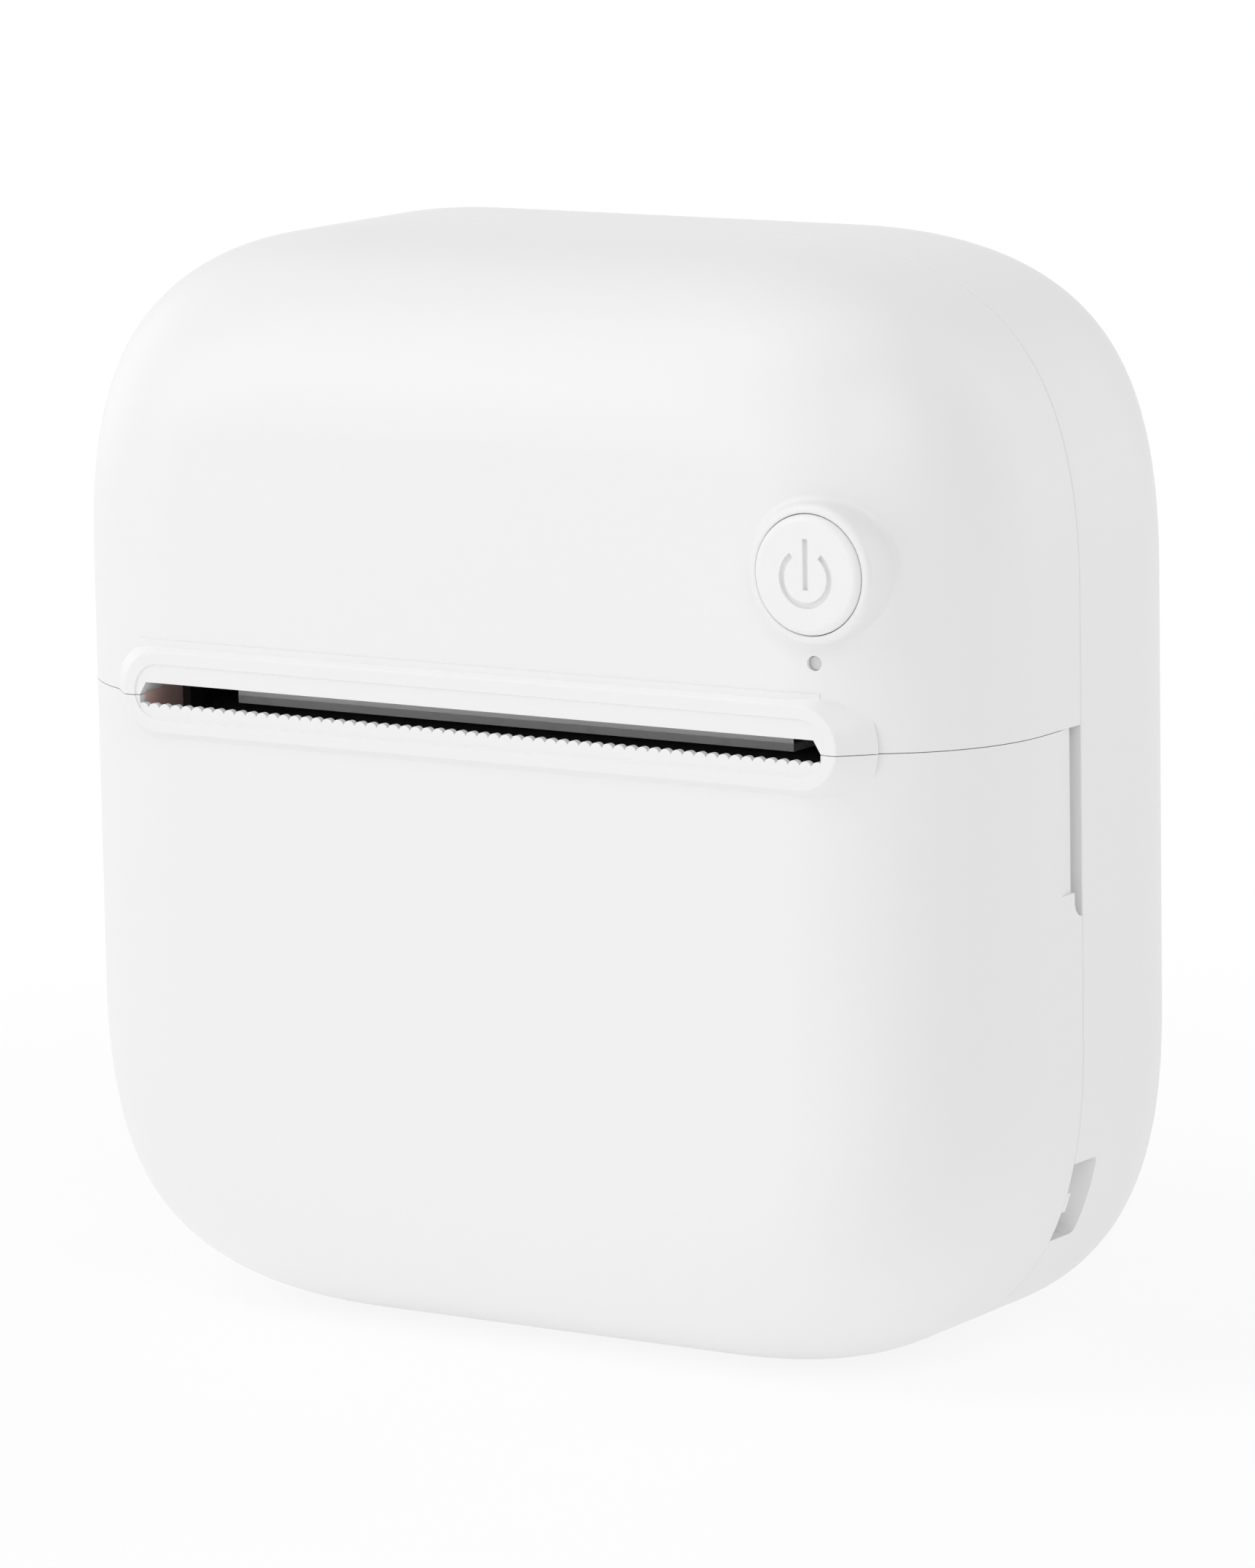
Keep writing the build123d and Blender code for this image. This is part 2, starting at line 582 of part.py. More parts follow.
def edge_guide():
    """The guide for the paper's left edge, on the front edge of the frame's left plate."""
    x = (SLOT_OFFSET - SLOT_HALF_LENGTH - GUIDE_THICKNESS, SLOT_OFFSET - SLOT_HALF_LENGTH)
    z = (SPLIT_HEIGHT - GUIDE_DOWN, SPLIT_HEIGHT + GUIDE_UP)
    return block(x, (GUIDE_FRONT_Y, FRAME_FRONT_Y), z)


def tear_teeth():
    """The row of rounded teeth on the cover's edge, under the slot."""
    root = SPLIT_HEIGHT - SLOT_DOWN - TOOTH_HEIGHT
    y = FRONT_Y - RING_PROUD + RING_DISH
    count = round(2 * SLOT_HALF_LENGTH / TOOTH_PITCH)
    start = -count * TOOTH_PITCH / 2
    foot = root - SLOT_DOWN
    edges = []
    for tooth in range(count):
        x = start + tooth * TOOTH_PITCH
        tip = (x + TOOTH_PITCH / 2, y, root + TOOTH_HEIGHT)
        edges.append(ThreePointArc((x, y, root), tip, (x + TOOTH_PITCH, y, root)))
    edges.append(Polyline((-start, y, root), (-start, y, foot), (start, y, foot), (start, y, root)))
    return Pos(SLOT_OFFSET, 0, 0) * extrude(make_face(edges), TOOTH_DEPTH, dir=(0, 1, 0))


def shell_half(y_start, y_end, seam_face):
    """The shell between two y values, its outer edge at the seam rounded."""
    half = (OUTER - INNER) & block((-FAR, FAR), (y_start, y_end), (-FAR, FAR))
    return fillet(half.faces().sort_by(Axis.Y)[seam_face].outer_wire().edges(), EDGE_SOFTENING)


FRONT_SKIN = shell_half(-FAR, SEAM_Y - SEAM_GAP / 2, -1) + slot_ring()


# ---------------------------------------------------------------- front case

def button_collar():
    """The round collar that stands out of the front case round the button."""
    bore = BUTTON_RADIUS + BUTTON_CLEARANCE
    top = FRONT_Y - COLLAR_PROUD
    collar = rod_y(BUTTON_X, (top, INNER_FRONT_Y + WALL), BUTTON_Z, bore + COLLAR_WALL)
    collar = fillet(collar.edges().group_by(Axis.Y)[0], COLLAR_SOFTENING)
    collar -= rod_y(BUTTON_X, (-FAR, FAR), BUTTON_Z, bore)
    return fillet(collar.edges().group_by(Axis.Y)[0].sort_by(SortBy.RADIUS)[0], COLLAR_RIM) - INNER


def collar_root(case):
    """The edges where the collar meets the outside of the front case."""
    radius = BUTTON_RADIUS + BUTTON_CLEARANCE + COLLAR_WALL
    found = []
    for edge in case.edges().filter_by(GeomType.LINE, reverse=True):
        reaches = [hypot((edge @ t).X - BUTTON_X, (edge @ t).Z - BUTTON_Z) for t in (0.1, 0.5, 0.9)]
        at_root = (edge @ 0.5).Y > FRONT_Y - COLLAR_PROUD / 2
        if at_root and all(abs(reach - radius) < 0.01 for reach in reaches):
            found.append(edge)
    return found


def front_case():
    """The fixed upper front shell, with the button's collar and the board's posts."""
    bottom = SPLIT_HEIGHT + SPLIT_GAP / 2
    case = FRONT_SKIN & block((-FAR, FAR), (-FAR, FAR), (bottom, FAR))
    band = pillow(-BAND_PROUD) - INNER
    end, fade = SLOT_HALF_LENGTH, SLOT_HALF_LENGTH - BAND_FADE
    sides = [(end, FRONT_Y + BAND_DEPTH), (end, FRONT_Y), (fade, FRONT_Y - BAND_PROUD)]
    sides += [(-x, y) for x, y in reversed(sides)]
    band &= Pos(0, 0, bottom) * extrude(make_face(Polyline(*sides, close=True)), BAND_TOP)
    case += band
    case -= paper_slot()
    case -= guide_pocket()
    case -= rod_y(BUTTON_X, (-FAR, BOARD_FRONT_Y), BUTTON_Z, BUTTON_RADIUS + BUTTON_CLEARANCE)
    case += button_collar()
    case = fillet(collar_root(case), COLLAR_ROOT)
    boss = rod_y(UPPER_SCREW_X, (INNER_FRONT_Y - BOSS_ROOT, FRONT_BOSS_END), UPPER_SCREW_Z, BOSS_RADIUS)
    case += both_sides(boss & OUTER)
    pilot = rod_y(UPPER_SCREW_X, (PILOT_END, FAR), UPPER_SCREW_Z, SCREW_RADIUS + SCREW_CLEARANCE)
    case -= both_sides(pilot)
    for x, z in POST_PLACES:
        case += rod_y(x, (FRONT_Y, BOARD_FRONT_Y), z, POST_RADIUS) & pillow(WALL / 2)
        case -= rod_y(x, (BOARD_FRONT_Y - SMALL_SCREW_LENGTH, FAR), z, SMALL_SCREW_RADIUS + SCREW_CLEARANCE)
    case -= rod_y(LIGHT_X, (-FAR, BOARD_FRONT_Y), LIGHT_Z, LIGHT_HOLE_RADIUS)
    return case - usb_opening()


def usb_opening():
    """The stadium-shaped hole in the left side for the charging socket."""
    return usb_prism(-FAR, -BODY_WIDTH / 2 + WALL + BUTTON_DEPTH, USB_HOLE_CLEARANCE)


def usb_prism(x_start, x_end, grow):
    """A stadium prism along X at the charging socket, grown by grow all round."""
    height = USB_HEIGHT + 2 * grow
    face = Plane.YZ * Rot(0, 0, 90) * SlotOverall(USB_WIDTH + 2 * grow, height)
    prism = extrude(face, x_end - x_start, dir=(1, 0, 0))
    return Pos(x_start, BOARD_BACK_Y + USB_HEIGHT / 2, USB_Z) * prism


# ---------------------------------------------------------------- rear case

def rim():
    """The rear case's thin inner rim, which stands forward behind the front shells."""
    ring = pillow(WALL + RIM_CLEARANCE) - pillow(WALL + RIM_CLEARANCE + RIM_THICKNESS)
    ring &= block((-FAR, FAR), (SEAM_Y - RIM_FORWARD, SEAM_Y + RIM_BACKWARD), (-FAR, FAR))
    root = pillow(WALL - RIM_ROOT) - pillow(WALL + RIM_CLEARANCE + RIM_THICKNESS / 2)
    root &= block((-FAR, FAR), (SEAM_Y + SEAM_GAP, SEAM_Y + RIM_BACKWARD), (-FAR, FAR))
    return ring + root


def hinge_slot():
    """The gap in the rear case's floor that one cover arm swings through."""
    x = (HINGE_ARM_INNER - HINGE_SIDE_GAP, HINGE_ARM_OUTER + HINGE_SIDE_GAP)
    y = (SEAM_Y - RIM_FORWARD - 1, HINGE_Y + KNUCKLE_RADIUS + HINGE_SWING_GAP)
    return block(x, y, (-1, HINGE_Z + KNUCKLE_RADIUS + HINGE_SWING_GAP))


def hinge_lugs():
    """The two lugs in the rear case's floor beside one cover arm."""
    y = (SEAM_Y + SEAM_GAP / 2, HINGE_Y + KNUCKLE_RADIUS + HINGE_SWING_GAP)
    z = (WALL / 2, HINGE_Z + KNUCKLE_RADIUS)
    inner = block((HINGE_ARM_INNER - HINGE_SIDE_GAP - HINGE_LUG, HINGE_ARM_INNER - HINGE_SIDE_GAP), y, z)
    outer = block((HINGE_ARM_OUTER + HINGE_SIDE_GAP, HINGE_ARM_OUTER + HINGE_SIDE_GAP + HINGE_LUG), y, z)
    return inner + outer


def hinge_pins():
    """Both steel hinge pins."""
    return both_sides(hinge_pin())


def hinge_pin():
    """One steel hinge pin through an arm and its two lugs."""
    x = (HINGE_ARM_INNER - HINGE_SIDE_GAP - HINGE_LUG, HINGE_ARM_OUTER + HINGE_SIDE_GAP + HINGE_LUG)
    return rod_x(x, HINGE_Y, HINGE_Z, HINGE_PIN_RADIUS)


def notch():
    """The cut in the rear case's front edge near the base, at one side."""
    y = (SEAM_Y - 1, SEAM_Y + NOTCH_WIDTH)
    cut = block((BODY_WIDTH / 4, FAR), y, (NOTCH_BOTTOM, NOTCH_TOP))
    cut = fillet(cut.edges().filter_by(Axis.X).group_by(Axis.Y)[-1], NOTCH_CORNER)
    return cut - pillow(WALL + RIM_CLEARANCE)


def back_panel():
    """The shallow blank panel pressed into the back."""
    x = (-PANEL_WIDTH / 2, PANEL_WIDTH / 2)
    z = (BODY_HEIGHT / 2 - PANEL_HEIGHT / 2, BODY_HEIGHT / 2 + PANEL_HEIGHT / 2)
    panel = block(x, (BACK_Y - PANEL_DEPTH, FAR), z)
    return fillet(panel.edges().filter_by(Axis.Y), PANEL_CORNER)


def rear_boss(x, z, seat, floor):
    """A screw boss from the back wall, solid ahead of the screw's seat."""
    return rod_y(x, (seat - floor, INNER_BACK_Y + WALL / 2), z, BOSS_RADIUS) & OUTER


def rear_screw_hole(x, z, seat):
    """The counterbore and the clearance hole of one case screw."""
    hole = rod_y(x, (seat, FAR), z, SCREW_HEAD_RADIUS + COUNTERBORE_CLEARANCE)
    return hole + rod_y(x, (-FAR / 4, seat), z, SCREW_RADIUS + SCREW_CLEARANCE)


def rear_case():
    """The rear shell, with the inner rim, hinge lugs and screw bosses."""
    case = shell_half(SEAM_Y + SEAM_GAP / 2, FAR, 0) - both_sides(notch())
    case += rim()
    case -= both_sides(hinge_slot())
    case += both_sides(hinge_lugs() & OUTER)
    case -= both_sides(hinge_pin())
    case += both_sides(rear_boss(UPPER_SCREW_X, UPPER_SCREW_Z, UPPER_SEAT_Y, BOSS_FLOOR))
    case -= both_sides(rear_screw_hole(UPPER_SCREW_X, UPPER_SCREW_Z, UPPER_SEAT_Y))
    case += both_sides(rear_boss(LOWER_SCREW_X, LOWER_SCREW_Z, LOWER_SEAT_Y, LOWER_BOSS_FLOOR))
    case -= both_sides(rear_screw_hole(LOWER_SCREW_X, LOWER_SCREW_Z, LOWER_SEAT_Y))
    return case - back_panel()


# ---------------------------------------------------------------- cover

def finger_recess():
    """The cut in the cover's upper rear edge at one side, with a bevel before it."""
    top = SPLIT_HEIGHT + 1
    edge = SEAM_Y - SEAM_GAP / 2
    cut = block((BODY_WIDTH / 4, FAR), (edge - RECESS_WIDTH, edge + 1), (SPLIT_HEIGHT - RECESS_HEIGHT, top))
    corner = cut.edges().filter_by(Axis.X).group_by(Axis.Z)[0].group_by(Axis.Y)[0]
    cut = fillet(corner, RECESS_CORNER)
    side = BODY_WIDTH / 2
    bottom = SPLIT_HEIGHT - BEVEL_HEIGHT
    wedge = Polyline(
        (side + CUT_OVERRUN, edge - RECESS_WIDTH - BEVEL_WIDTH, bottom),
        (side + CUT_OVERRUN, edge + 1, bottom),
        (side - BEVEL_DEPTH, edge + 1, bottom),
        (side - BEVEL_DEPTH, edge - RECESS_WIDTH, bottom),
        close=True,
    )
    bevel = extrude(make_face(wedge), top - bottom, dir=(0, 0, 1))
    return cut + bevel


def floor_relief():
    """The cut behind the skin of the cover's floor, so that it swings clear of the rear case."""
    y = (SEAM_Y - SEAM_GAP / 2 - FLOOR_RELIEF, FAR)
    return pillow(FLOOR_LIP) & block((-FAR, FAR), y, (-FAR, FLOOR_RELIEF_TOP))


def hinge_arm():
    """One arm under the cover's floor, with the knuckle that turns on the hinge pin."""
    x = (HINGE_ARM_INNER, HINGE_ARM_OUTER)
    low, high = HINGE_Z - KNUCKLE_RADIUS, HINGE_Z + KNUCKLE_RADIUS
    arm = block(x, (SEAM_Y - SEAM_GAP / 2 - HINGE_ARM_ROOT, HINGE_Y), (low, high))
    arm += rod_x(x, HINGE_Y, HINGE_Z, KNUCKLE_RADIUS)
    bore = rod_x((0, BODY_WIDTH / 2), HINGE_Y, HINGE_Z, HINGE_PIN_RADIUS + HINGE_PIN_CLEARANCE)
    return arm - bore


def roller_arm():
    """One arm behind the cover's upper edge, with the ring that holds a bushing."""
    x = (COVER_ARM_INNER, COVER_ARM_INNER + COVER_ARM_THICKNESS)
    ring = BUSHING_RADIUS + COVER_ARM_RING
    arm = rod_x(x, ROLLER_Y, ROLLER_Z, ring)
    arm += block(x, (INNER_FRONT_Y - WALL / 4, ROLLER_Y), (ROLLER_Z - ring, ROLLER_Z + ring))
    arm &= pillow(WALL / 2)
    return arm - rod_x((0, BODY_WIDTH / 2), ROLLER_Y, ROLLER_Z, BUSHING_RADIUS)


def nub():
    """The small nub on the cover's rear edge that sits in the rear case's notch."""
    y = (SEAM_Y - SEAM_GAP, SEAM_Y + NUB_REACH)
    return (OUTER - pillow(NUB_THICKNESS)) & block((BODY_WIDTH / 4, FAR), y, (NUB_BOTTOM, NUB_TOP))


def front_cover():
    """The hinged lower front shell, with tear teeth, hinge arms and roller arms."""
    cover = FRONT_SKIN & block((-FAR, FAR), (-FAR, FAR), (-FAR, SPLIT_HEIGHT - SPLIT_GAP / 2))
    cover -= floor_relief()
    cover -= paper_slot() + slot_slope()
    cover -= guide_pocket()
    cover += tear_teeth()
    cover -= both_sides(finger_recess())
    cover += both_sides(hinge_arm())
    cover += both_sides(roller_arm())
    return cover + both_sides(nub())


# ---------------------------------------------------------------- platen roller

def platen_roller():
    """The rubber roller that drives the paper."""
    roller = rod_x((-ROLLER_HALF_LENGTH, ROLLER_HALF_LENGTH), ROLLER_Y, ROLLER_Z, ROLLER_RADIUS)
    return roller - rod_x((-FAR, FAR), ROLLER_Y, ROLLER_Z, SHAFT_RADIUS)


def platen_shaft():
    """The roller's steel shaft."""
    return rod_x((-SHAFT_LEFT_END, GEAR_START_X + GEAR_WIDTH), ROLLER_Y, ROLLER_Z, SHAFT_RADIUS)


def roller_bushings():
    """The two plain bushings that the shaft turns in."""
    bushing = rod_x((BUSHING_INNER_END, BUSHING_OUTER_END), ROLLER_Y, ROLLER_Z, BUSHING_RADIUS)
    bushing -= rod_x((0, FAR), ROLLER_Y, ROLLER_Z, SHAFT_RADIUS + SHAFT_CLEARANCE)
    return both_sides(bushing)


# ---------------------------------------------------------------- gears

def involute_point(base_radius, radius, start_angle, side):
    """The point of an involute flank at a radius, as (y, z)."""
    roll = sqrt(max(radius ** 2 / base_radius ** 2 - 1, 0))
    angle = start_angle + side * (roll - atan2(roll, 1))
    return radius * cos(angle), radius * sin(angle)


def spur_gear(teeth, x, y, z, tooth_angle, bore):
    """A spur gear along X with one tooth centred on tooth_angle, in degrees."""
    pitch_radius = MODULE * teeth / 2
    base_radius = pitch_radius * cos(radians(PRESSURE_ANGLE))
    tip_radius = pitch_radius + ADDENDUM * MODULE
    root_radius = pitch_radius - DEDENDUM * MODULE
    involute = tan(radians(PRESSURE_ANGLE)) - radians(PRESSURE_ANGLE)
    half_tooth = (pi * MODULE / 2 - GEAR_BACKLASH) / 2 / pitch_radius + involute
    flank_start = max(base_radius, root_radius)
    edges = []
    first = None
    last = None
    for tooth in range(teeth):
        middle = radians(tooth_angle) + 2 * pi * tooth / teeth
        left, right = middle - half_tooth, middle + half_tooth
        rise = [involute_point(base_radius, r, left, 1) for r in (flank_start, pitch_radius, tip_radius)]
        fall = [involute_point(base_radius, r, right, -1) for r in (tip_radius, pitch_radius, flank_start)]
        foot_in = (root_radius * cos(left), root_radius * sin(left))
        foot_out = (root_radius * cos(right), root_radius * sin(right))
        if last:
            edges.append(Line(to_plane(x, last), to_plane(x, foot_in)))
        else:
            first = foot_in
        edges.append(Line(to_plane(x, foot_in), to_plane(x, rise[0])))
        edges.append(ThreePointArc(*[to_plane(x, p) for p in rise]))
        edges.append(Line(to_plane(x, rise[-1]), to_plane(x, fall[0])))
        edges.append(ThreePointArc(*[to_plane(x, p) for p in fall]))
        edges.append(Line(to_plane(x, fall[-1]), to_plane(x, foot_out)))
        last = foot_out
    edges.append(Line(to_plane(x, last), to_plane(x, first)))
    gear = Pos(0, y, z) * extrude(make_face(edges), x[1] - x[0], dir=(1, 0, 0))
    return gear - rod_x((x[0] - 1, x[1] + 1), y, z, bore)


def to_plane(x, point):
    """A (y, z) point placed on the plane where a gear starts."""
    return (x[0], point[0], point[1])


def centre_distance(teeth_a, teeth_b):
    """Distance between two meshed gears, with a little extra for free running."""
    return MODULE * (teeth_a + teeth_b) / 2 + GEAR_CENTRE_EXTRA


IDLER_REACH = centre_distance(PLATEN_TEETH, IDLER_SMALL_TEETH)
IDLER_Y = ROLLER_Y + IDLER_REACH * cos(radians(IDLER_ANGLE))
IDLER_Z = ROLLER_Z + IDLER_REACH * sin(radians(IDLER_ANGLE))
PINION_REACH = centre_distance(IDLER_LARGE_TEETH, PINION_TEETH)
MOTOR_Y = IDLER_Y + PINION_REACH * cos(radians(PINION_ANGLE))
MOTOR_Z = IDLER_Z + PINION_REACH * sin(radians(PINION_ANGLE))
GEAR_X = (GEAR_START_X, GEAR_START_X + GEAR_WIDTH)
LARGE_GEAR_X = (GEAR_X[1] + LARGE_GEAR_GAP, GEAR_X[1] + LARGE_GEAR_GAP + LARGE_GEAR_WIDTH)
BATTERY_FRONT_Y = MOTOR_Y + MOTOR_RADIUS + BATTERY_MOTOR_GAP
BATTERY_BACK_Y = INNER_BACK_Y - BATTERY_BACK_GAP


def facing_gap(angle, teeth):
    """Angle of a tooth so that a gap faces the meshed gear seen at the given angle."""
    return angle + 180 + 180 / teeth


def platen_gear():
    """The gear on the right end of the platen's shaft."""
    return spur_gear(PLATEN_TEETH, GEAR_X, ROLLER_Y, ROLLER_Z, IDLER_ANGLE, SHAFT_RADIUS)


def idler_gear():
    """The stepped gear between the motor's pinion and the platen gear."""
    bore = IDLER_AXLE_RADIUS + AXLE_CLEARANCE
    small_angle = facing_gap(IDLER_ANGLE, IDLER_SMALL_TEETH)
    small = spur_gear(IDLER_SMALL_TEETH, GEAR_X, IDLER_Y, IDLER_Z, small_angle, bore)
    large = spur_gear(IDLER_LARGE_TEETH, LARGE_GEAR_X, IDLER_Y, IDLER_Z, PINION_ANGLE, bore)
    hub = rod_x((PLATE_OUTER + AXLE_HEAD_GAP, LARGE_GEAR_X[0]), IDLER_Y, IDLER_Z, IDLER_AXLE_RADIUS * 2)
    hub -= rod_x((0, FAR), IDLER_Y, IDLER_Z, bore)
    return small + large + hub


def idler_axle():
    """The headed axle, fixed in the right frame plate, that the idler turns on."""
    end = LARGE_GEAR_X[1] + AXLE_HEAD_GAP
    axle = rod_x((PLATE_INNER, end), IDLER_Y, IDLER_Z, IDLER_AXLE_RADIUS)
    return axle + rod_x((end, end + AXLE_HEAD), IDLER_Y, IDLER_Z, AXLE_HEAD_RADIUS)


def motor_pinion():
    """The brass pinion on the motor's shaft."""
    angle = facing_gap(PINION_ANGLE, PINION_TEETH)
    x = (LARGE_GEAR_X[0] - AXLE_HEAD_GAP, LARGE_GEAR_X[1] + AXLE_HEAD_GAP)
    return spur_gear(PINION_TEETH, x, MOTOR_Y, MOTOR_Z, angle, MOTOR_SHAFT_RADIUS)


def motor_shaft():
    """The stepper motor's steel shaft."""
    x = (PLATE_INNER - MOTOR_SHAFT_DEPTH, LARGE_GEAR_X[1] + AXLE_HEAD_GAP + AXLE_HEAD)
    return rod_x(x, MOTOR_Y, MOTOR_Z, MOTOR_SHAFT_RADIUS)


def stepper_motor():
    """The paper-feed motor's can, against the right frame plate."""
    can = rod_x((PLATE_INNER - MOTOR_LENGTH, PLATE_INNER), MOTOR_Y, MOTOR_Z, MOTOR_RADIUS)
    can = fillet(can.edges().group_by(Axis.X)[0], MOTOR_RADIUS / 10)
    bore = MOTOR_SHAFT_RADIUS + AXLE_CLEARANCE
    return can - rod_x((PLATE_INNER - MOTOR_SHAFT_DEPTH - AXLE_HEAD_GAP, FAR), MOTOR_Y, MOTOR_Z, bore)


# ---------------------------------------------------------------- mechanism frame

def bushing_seat():
    """The open seat in a frame plate that a bushing swings out of with the cover."""
    radius = BUSHING_RADIUS + BUSHING_CLEARANCE
    opening = degrees(atan2(-(ROLLER_Y - HINGE_Y), ROLLER_Z - HINGE_Z))
    upper = radians(180 + opening)
    lower = radians(180 + opening + SEAT_FLARE)
    length = FAR / 4

    def beside(direction, side, along):
        y = ROLLER_Y + along * cos(direction) + side * radius * sin(direction)
        z = ROLLER_Z + along * sin(direction) - side * radius * cos(direction)
        return y, z

    outline = [beside(upper, 1, 0), beside(upper, 1, length), beside(lower, -1, length), beside(lower, -1, 0)]
    x = (-FAR, FAR)
    return plate_x(x, outline) + rod_x(x, ROLLER_Y, ROLLER_Z, radius)


def side_plate():
    """One side plate of the frame, on the right."""
    x = (PLATE_INNER, PLATE_OUTER)
    rear = FRAME_WEB_Y + FRAME_WEB
    foot = SHELF_HEIGHT - SHELF_THICKNESS
    chin = ROLLER_Y + JAW_LENGTH
    outline = [
        (FRAME_FRONT_Y, ROLLER_Z),
        (FRAME_FRONT_Y, SPLIT_HEIGHT + RING_HALF_HEIGHT),
        (FRAME_FRONT_Y + FRAME_NOSE, FRAME_TOP_Z),
        (rear, FRAME_TOP_Z),
        (rear, SHELF_TOP_Z),
        (SHELF_Y - CRADLE_MARGIN, SHELF_TOP_Z),
        (SHELF_Y - CRADLE_MARGIN, foot),
        (chin, foot),
        (FRAME_FRONT_Y + JAW_LENGTH, ROLLER_Z - BUSHING_RADIUS),
    ]
    return plate_x(x, outline)


def foot_places():
    """Where the frame's two feet are screwed to the cradle's shelf."""
    return ((-PLATE_INNER + BOSS_RADIUS * 3, FOOT_Y), (PLATE_INNER - BOSS_RADIUS * 5, FOOT_Y))


def mechanism_frame():
    """The black frame that holds the motor, gears and print head over the roller."""
    frame = both_sides(side_plate())
    motor_plate = rod_x((PLATE_INNER, PLATE_OUTER), MOTOR_Y, MOTOR_Z, MOTOR_RADIUS + MOTOR_FLANGE)
    idler_plate = rod_x((PLATE_INNER, PLATE_OUTER), IDLER_Y, IDLER_Z, IDLER_AXLE_RADIUS * 3)
    frame += motor_plate + idler_plate
    web_end = PLATE_INNER - MOTOR_LENGTH - 1
    web_y = (FRAME_WEB_Y, FRAME_WEB_Y + FRAME_WEB)
    frame += block((-PLATE_INNER, web_end), web_y, (SHELF_TOP_Z, FRAME_TOP_Z))
    frame += block((-PLATE_INNER, PLATE_INNER), web_y, (SHELF_TOP_Z, SHELF_TOP_Z + FRAME_FOOT_THICKNESS * 3))
    beam_y = (FRAME_BEAM_Y, FRAME_BEAM_Y + FRAME_BEAM_DEPTH)
    frame += block((-PLATE_INNER, PLATE_INNER), beam_y, (FRAME_TOP_Z - FRAME_BEAM_THICKNESS, FRAME_TOP_Z))
    for x, y in foot_places():
        foot = (SHELF_TOP_Z, SHELF_TOP_Z + FRAME_FOOT_THICKNESS)
        frame += block((x - BOSS_RADIUS, x + BOSS_RADIUS), (FRAME_WEB_Y, y), foot)
        frame += rod_z(x, y, foot, BOSS_RADIUS)
        frame -= rod_z(x, y, (0, FAR), SMALL_SCREW_RADIUS + SCREW_CLEARANCE)
    frame -= bushing_seat()
    pivot = rod_x((-FAR, FAR), HEAD_PIVOT_Y, HEAD_PIVOT_Z, HEAD_PIN_RADIUS)
    axle = rod_x((0, FAR), IDLER_Y, IDLER_Z, IDLER_AXLE_RADIUS)
    shaft = rod_x((0, FAR), MOTOR_Y, MOTOR_Z, MOTOR_SHAFT_RADIUS + AXLE_CLEARANCE)
    return frame - pivot - axle - shaft


# ---------------------------------------------------------------- print head

def head_plate():
    """The aluminium plate that carries the heating line and tilts on its pin."""
    y = (HEAD_FRONT_Y, HEAD_FRONT_Y + HEAD_DEPTH)
    plate = block((-HEAD_HALF_WIDTH, HEAD_HALF_WIDTH), y, (HEAD_PLATE_Z, HEAD_TOP_Z))
    for side in (-1, 1):
        ear_x = sorted((side * HEAD_EAR_INNER, side * (HEAD_EAR_INNER + HEAD_EAR_WIDTH)))
        plate += rod_x(ear_x, HEAD_PIVOT_Y, HEAD_PIVOT_Z, HEAD_EAR_RADIUS)
        low = HEAD_PIVOT_Z - HEAD_EAR_RADIUS
        plate += block(ear_x, (y[1] - 1, HEAD_PIVOT_Y), (max(low, HEAD_PLATE_Z), HEAD_TOP_Z))
    return plate - rod_x((-FAR, FAR), HEAD_PIVOT_Y, HEAD_PIVOT_Z, HEAD_PIN_RADIUS + HEAD_PIN_CLEARANCE)


def heating_line():
    """The ceramic strip with the heating dots, under the head's plate."""
    y = (HEAD_FRONT_Y, HEAD_FRONT_Y + SUBSTRATE_DEPTH)
    return block((-HEAD_HALF_WIDTH, HEAD_HALF_WIDTH), y, (HEAD_BOTTOM_Z, HEAD_PLATE_Z))


def head_pivot_pin():
    """The pin through both frame plates that the print head tilts on."""
    return rod_x((-PLATE_OUTER, PLATE_OUTER), HEAD_PIVOT_Y, HEAD_PIVOT_Z, HEAD_PIN_RADIUS)


def head_springs():
    """The two coil springs that press the print head on the roller."""
    bottom = HEAD_TOP_Z + SPRING_WIRE + SPRING_GAP
    top = FRAME_TOP_Z - FRAME_BEAM_THICKNESS - SPRING_WIRE - SPRING_GAP
    path = Helix(pitch=(top - bottom) / SPRING_TURNS, height=top - bottom, radius=SPRING_RADIUS)
    section = Plane(path @ 0, z_dir=path % 0) * Circle(SPRING_WIRE)
    coil = Pos(SPRING_X, FRONT_Y + SPRING_SETBACK, bottom) * sweep(section, path=path)
    return both_sides(coil)


# ---------------------------------------------------------------- paper cradle

def trough_point(angle, radius):
    """A (y, z) point on a circle about the trough's axis."""
    return TROUGH_Y + radius * cos(radians(angle)), TROUGH_HEIGHT + radius * sin(radians(angle))


def cradle_block():
    """The cradle's outside: half-round below, straight up to the shelf above."""
    outer = TROUGH_RADIUS + CRADLE_WALL
    half = BAY_HALF_WIDTH + CRADLE_WALL
    middle = (TROUGH_REAR_ANGLE + TROUGH_FRONT_ANGLE) / 2
    angles = (TROUGH_REAR_ANGLE, middle, TROUGH_FRONT_ANGLE)
    rear, low, front = [(-half, *trough_point(angle, outer)) for angle in angles]
    shelf_front = (-half, SHELF_Y, SHELF_TOP_Z)
    shelf_rear = (-half, SHELF_REAR_Y, SHELF_TOP_Z)
    outline = [ThreePointArc(rear, low, front), Polyline(front, shelf_front, shelf_rear, rear)]
    return extrude(make_face(outline), 2 * half, dir=(1, 0, 0))


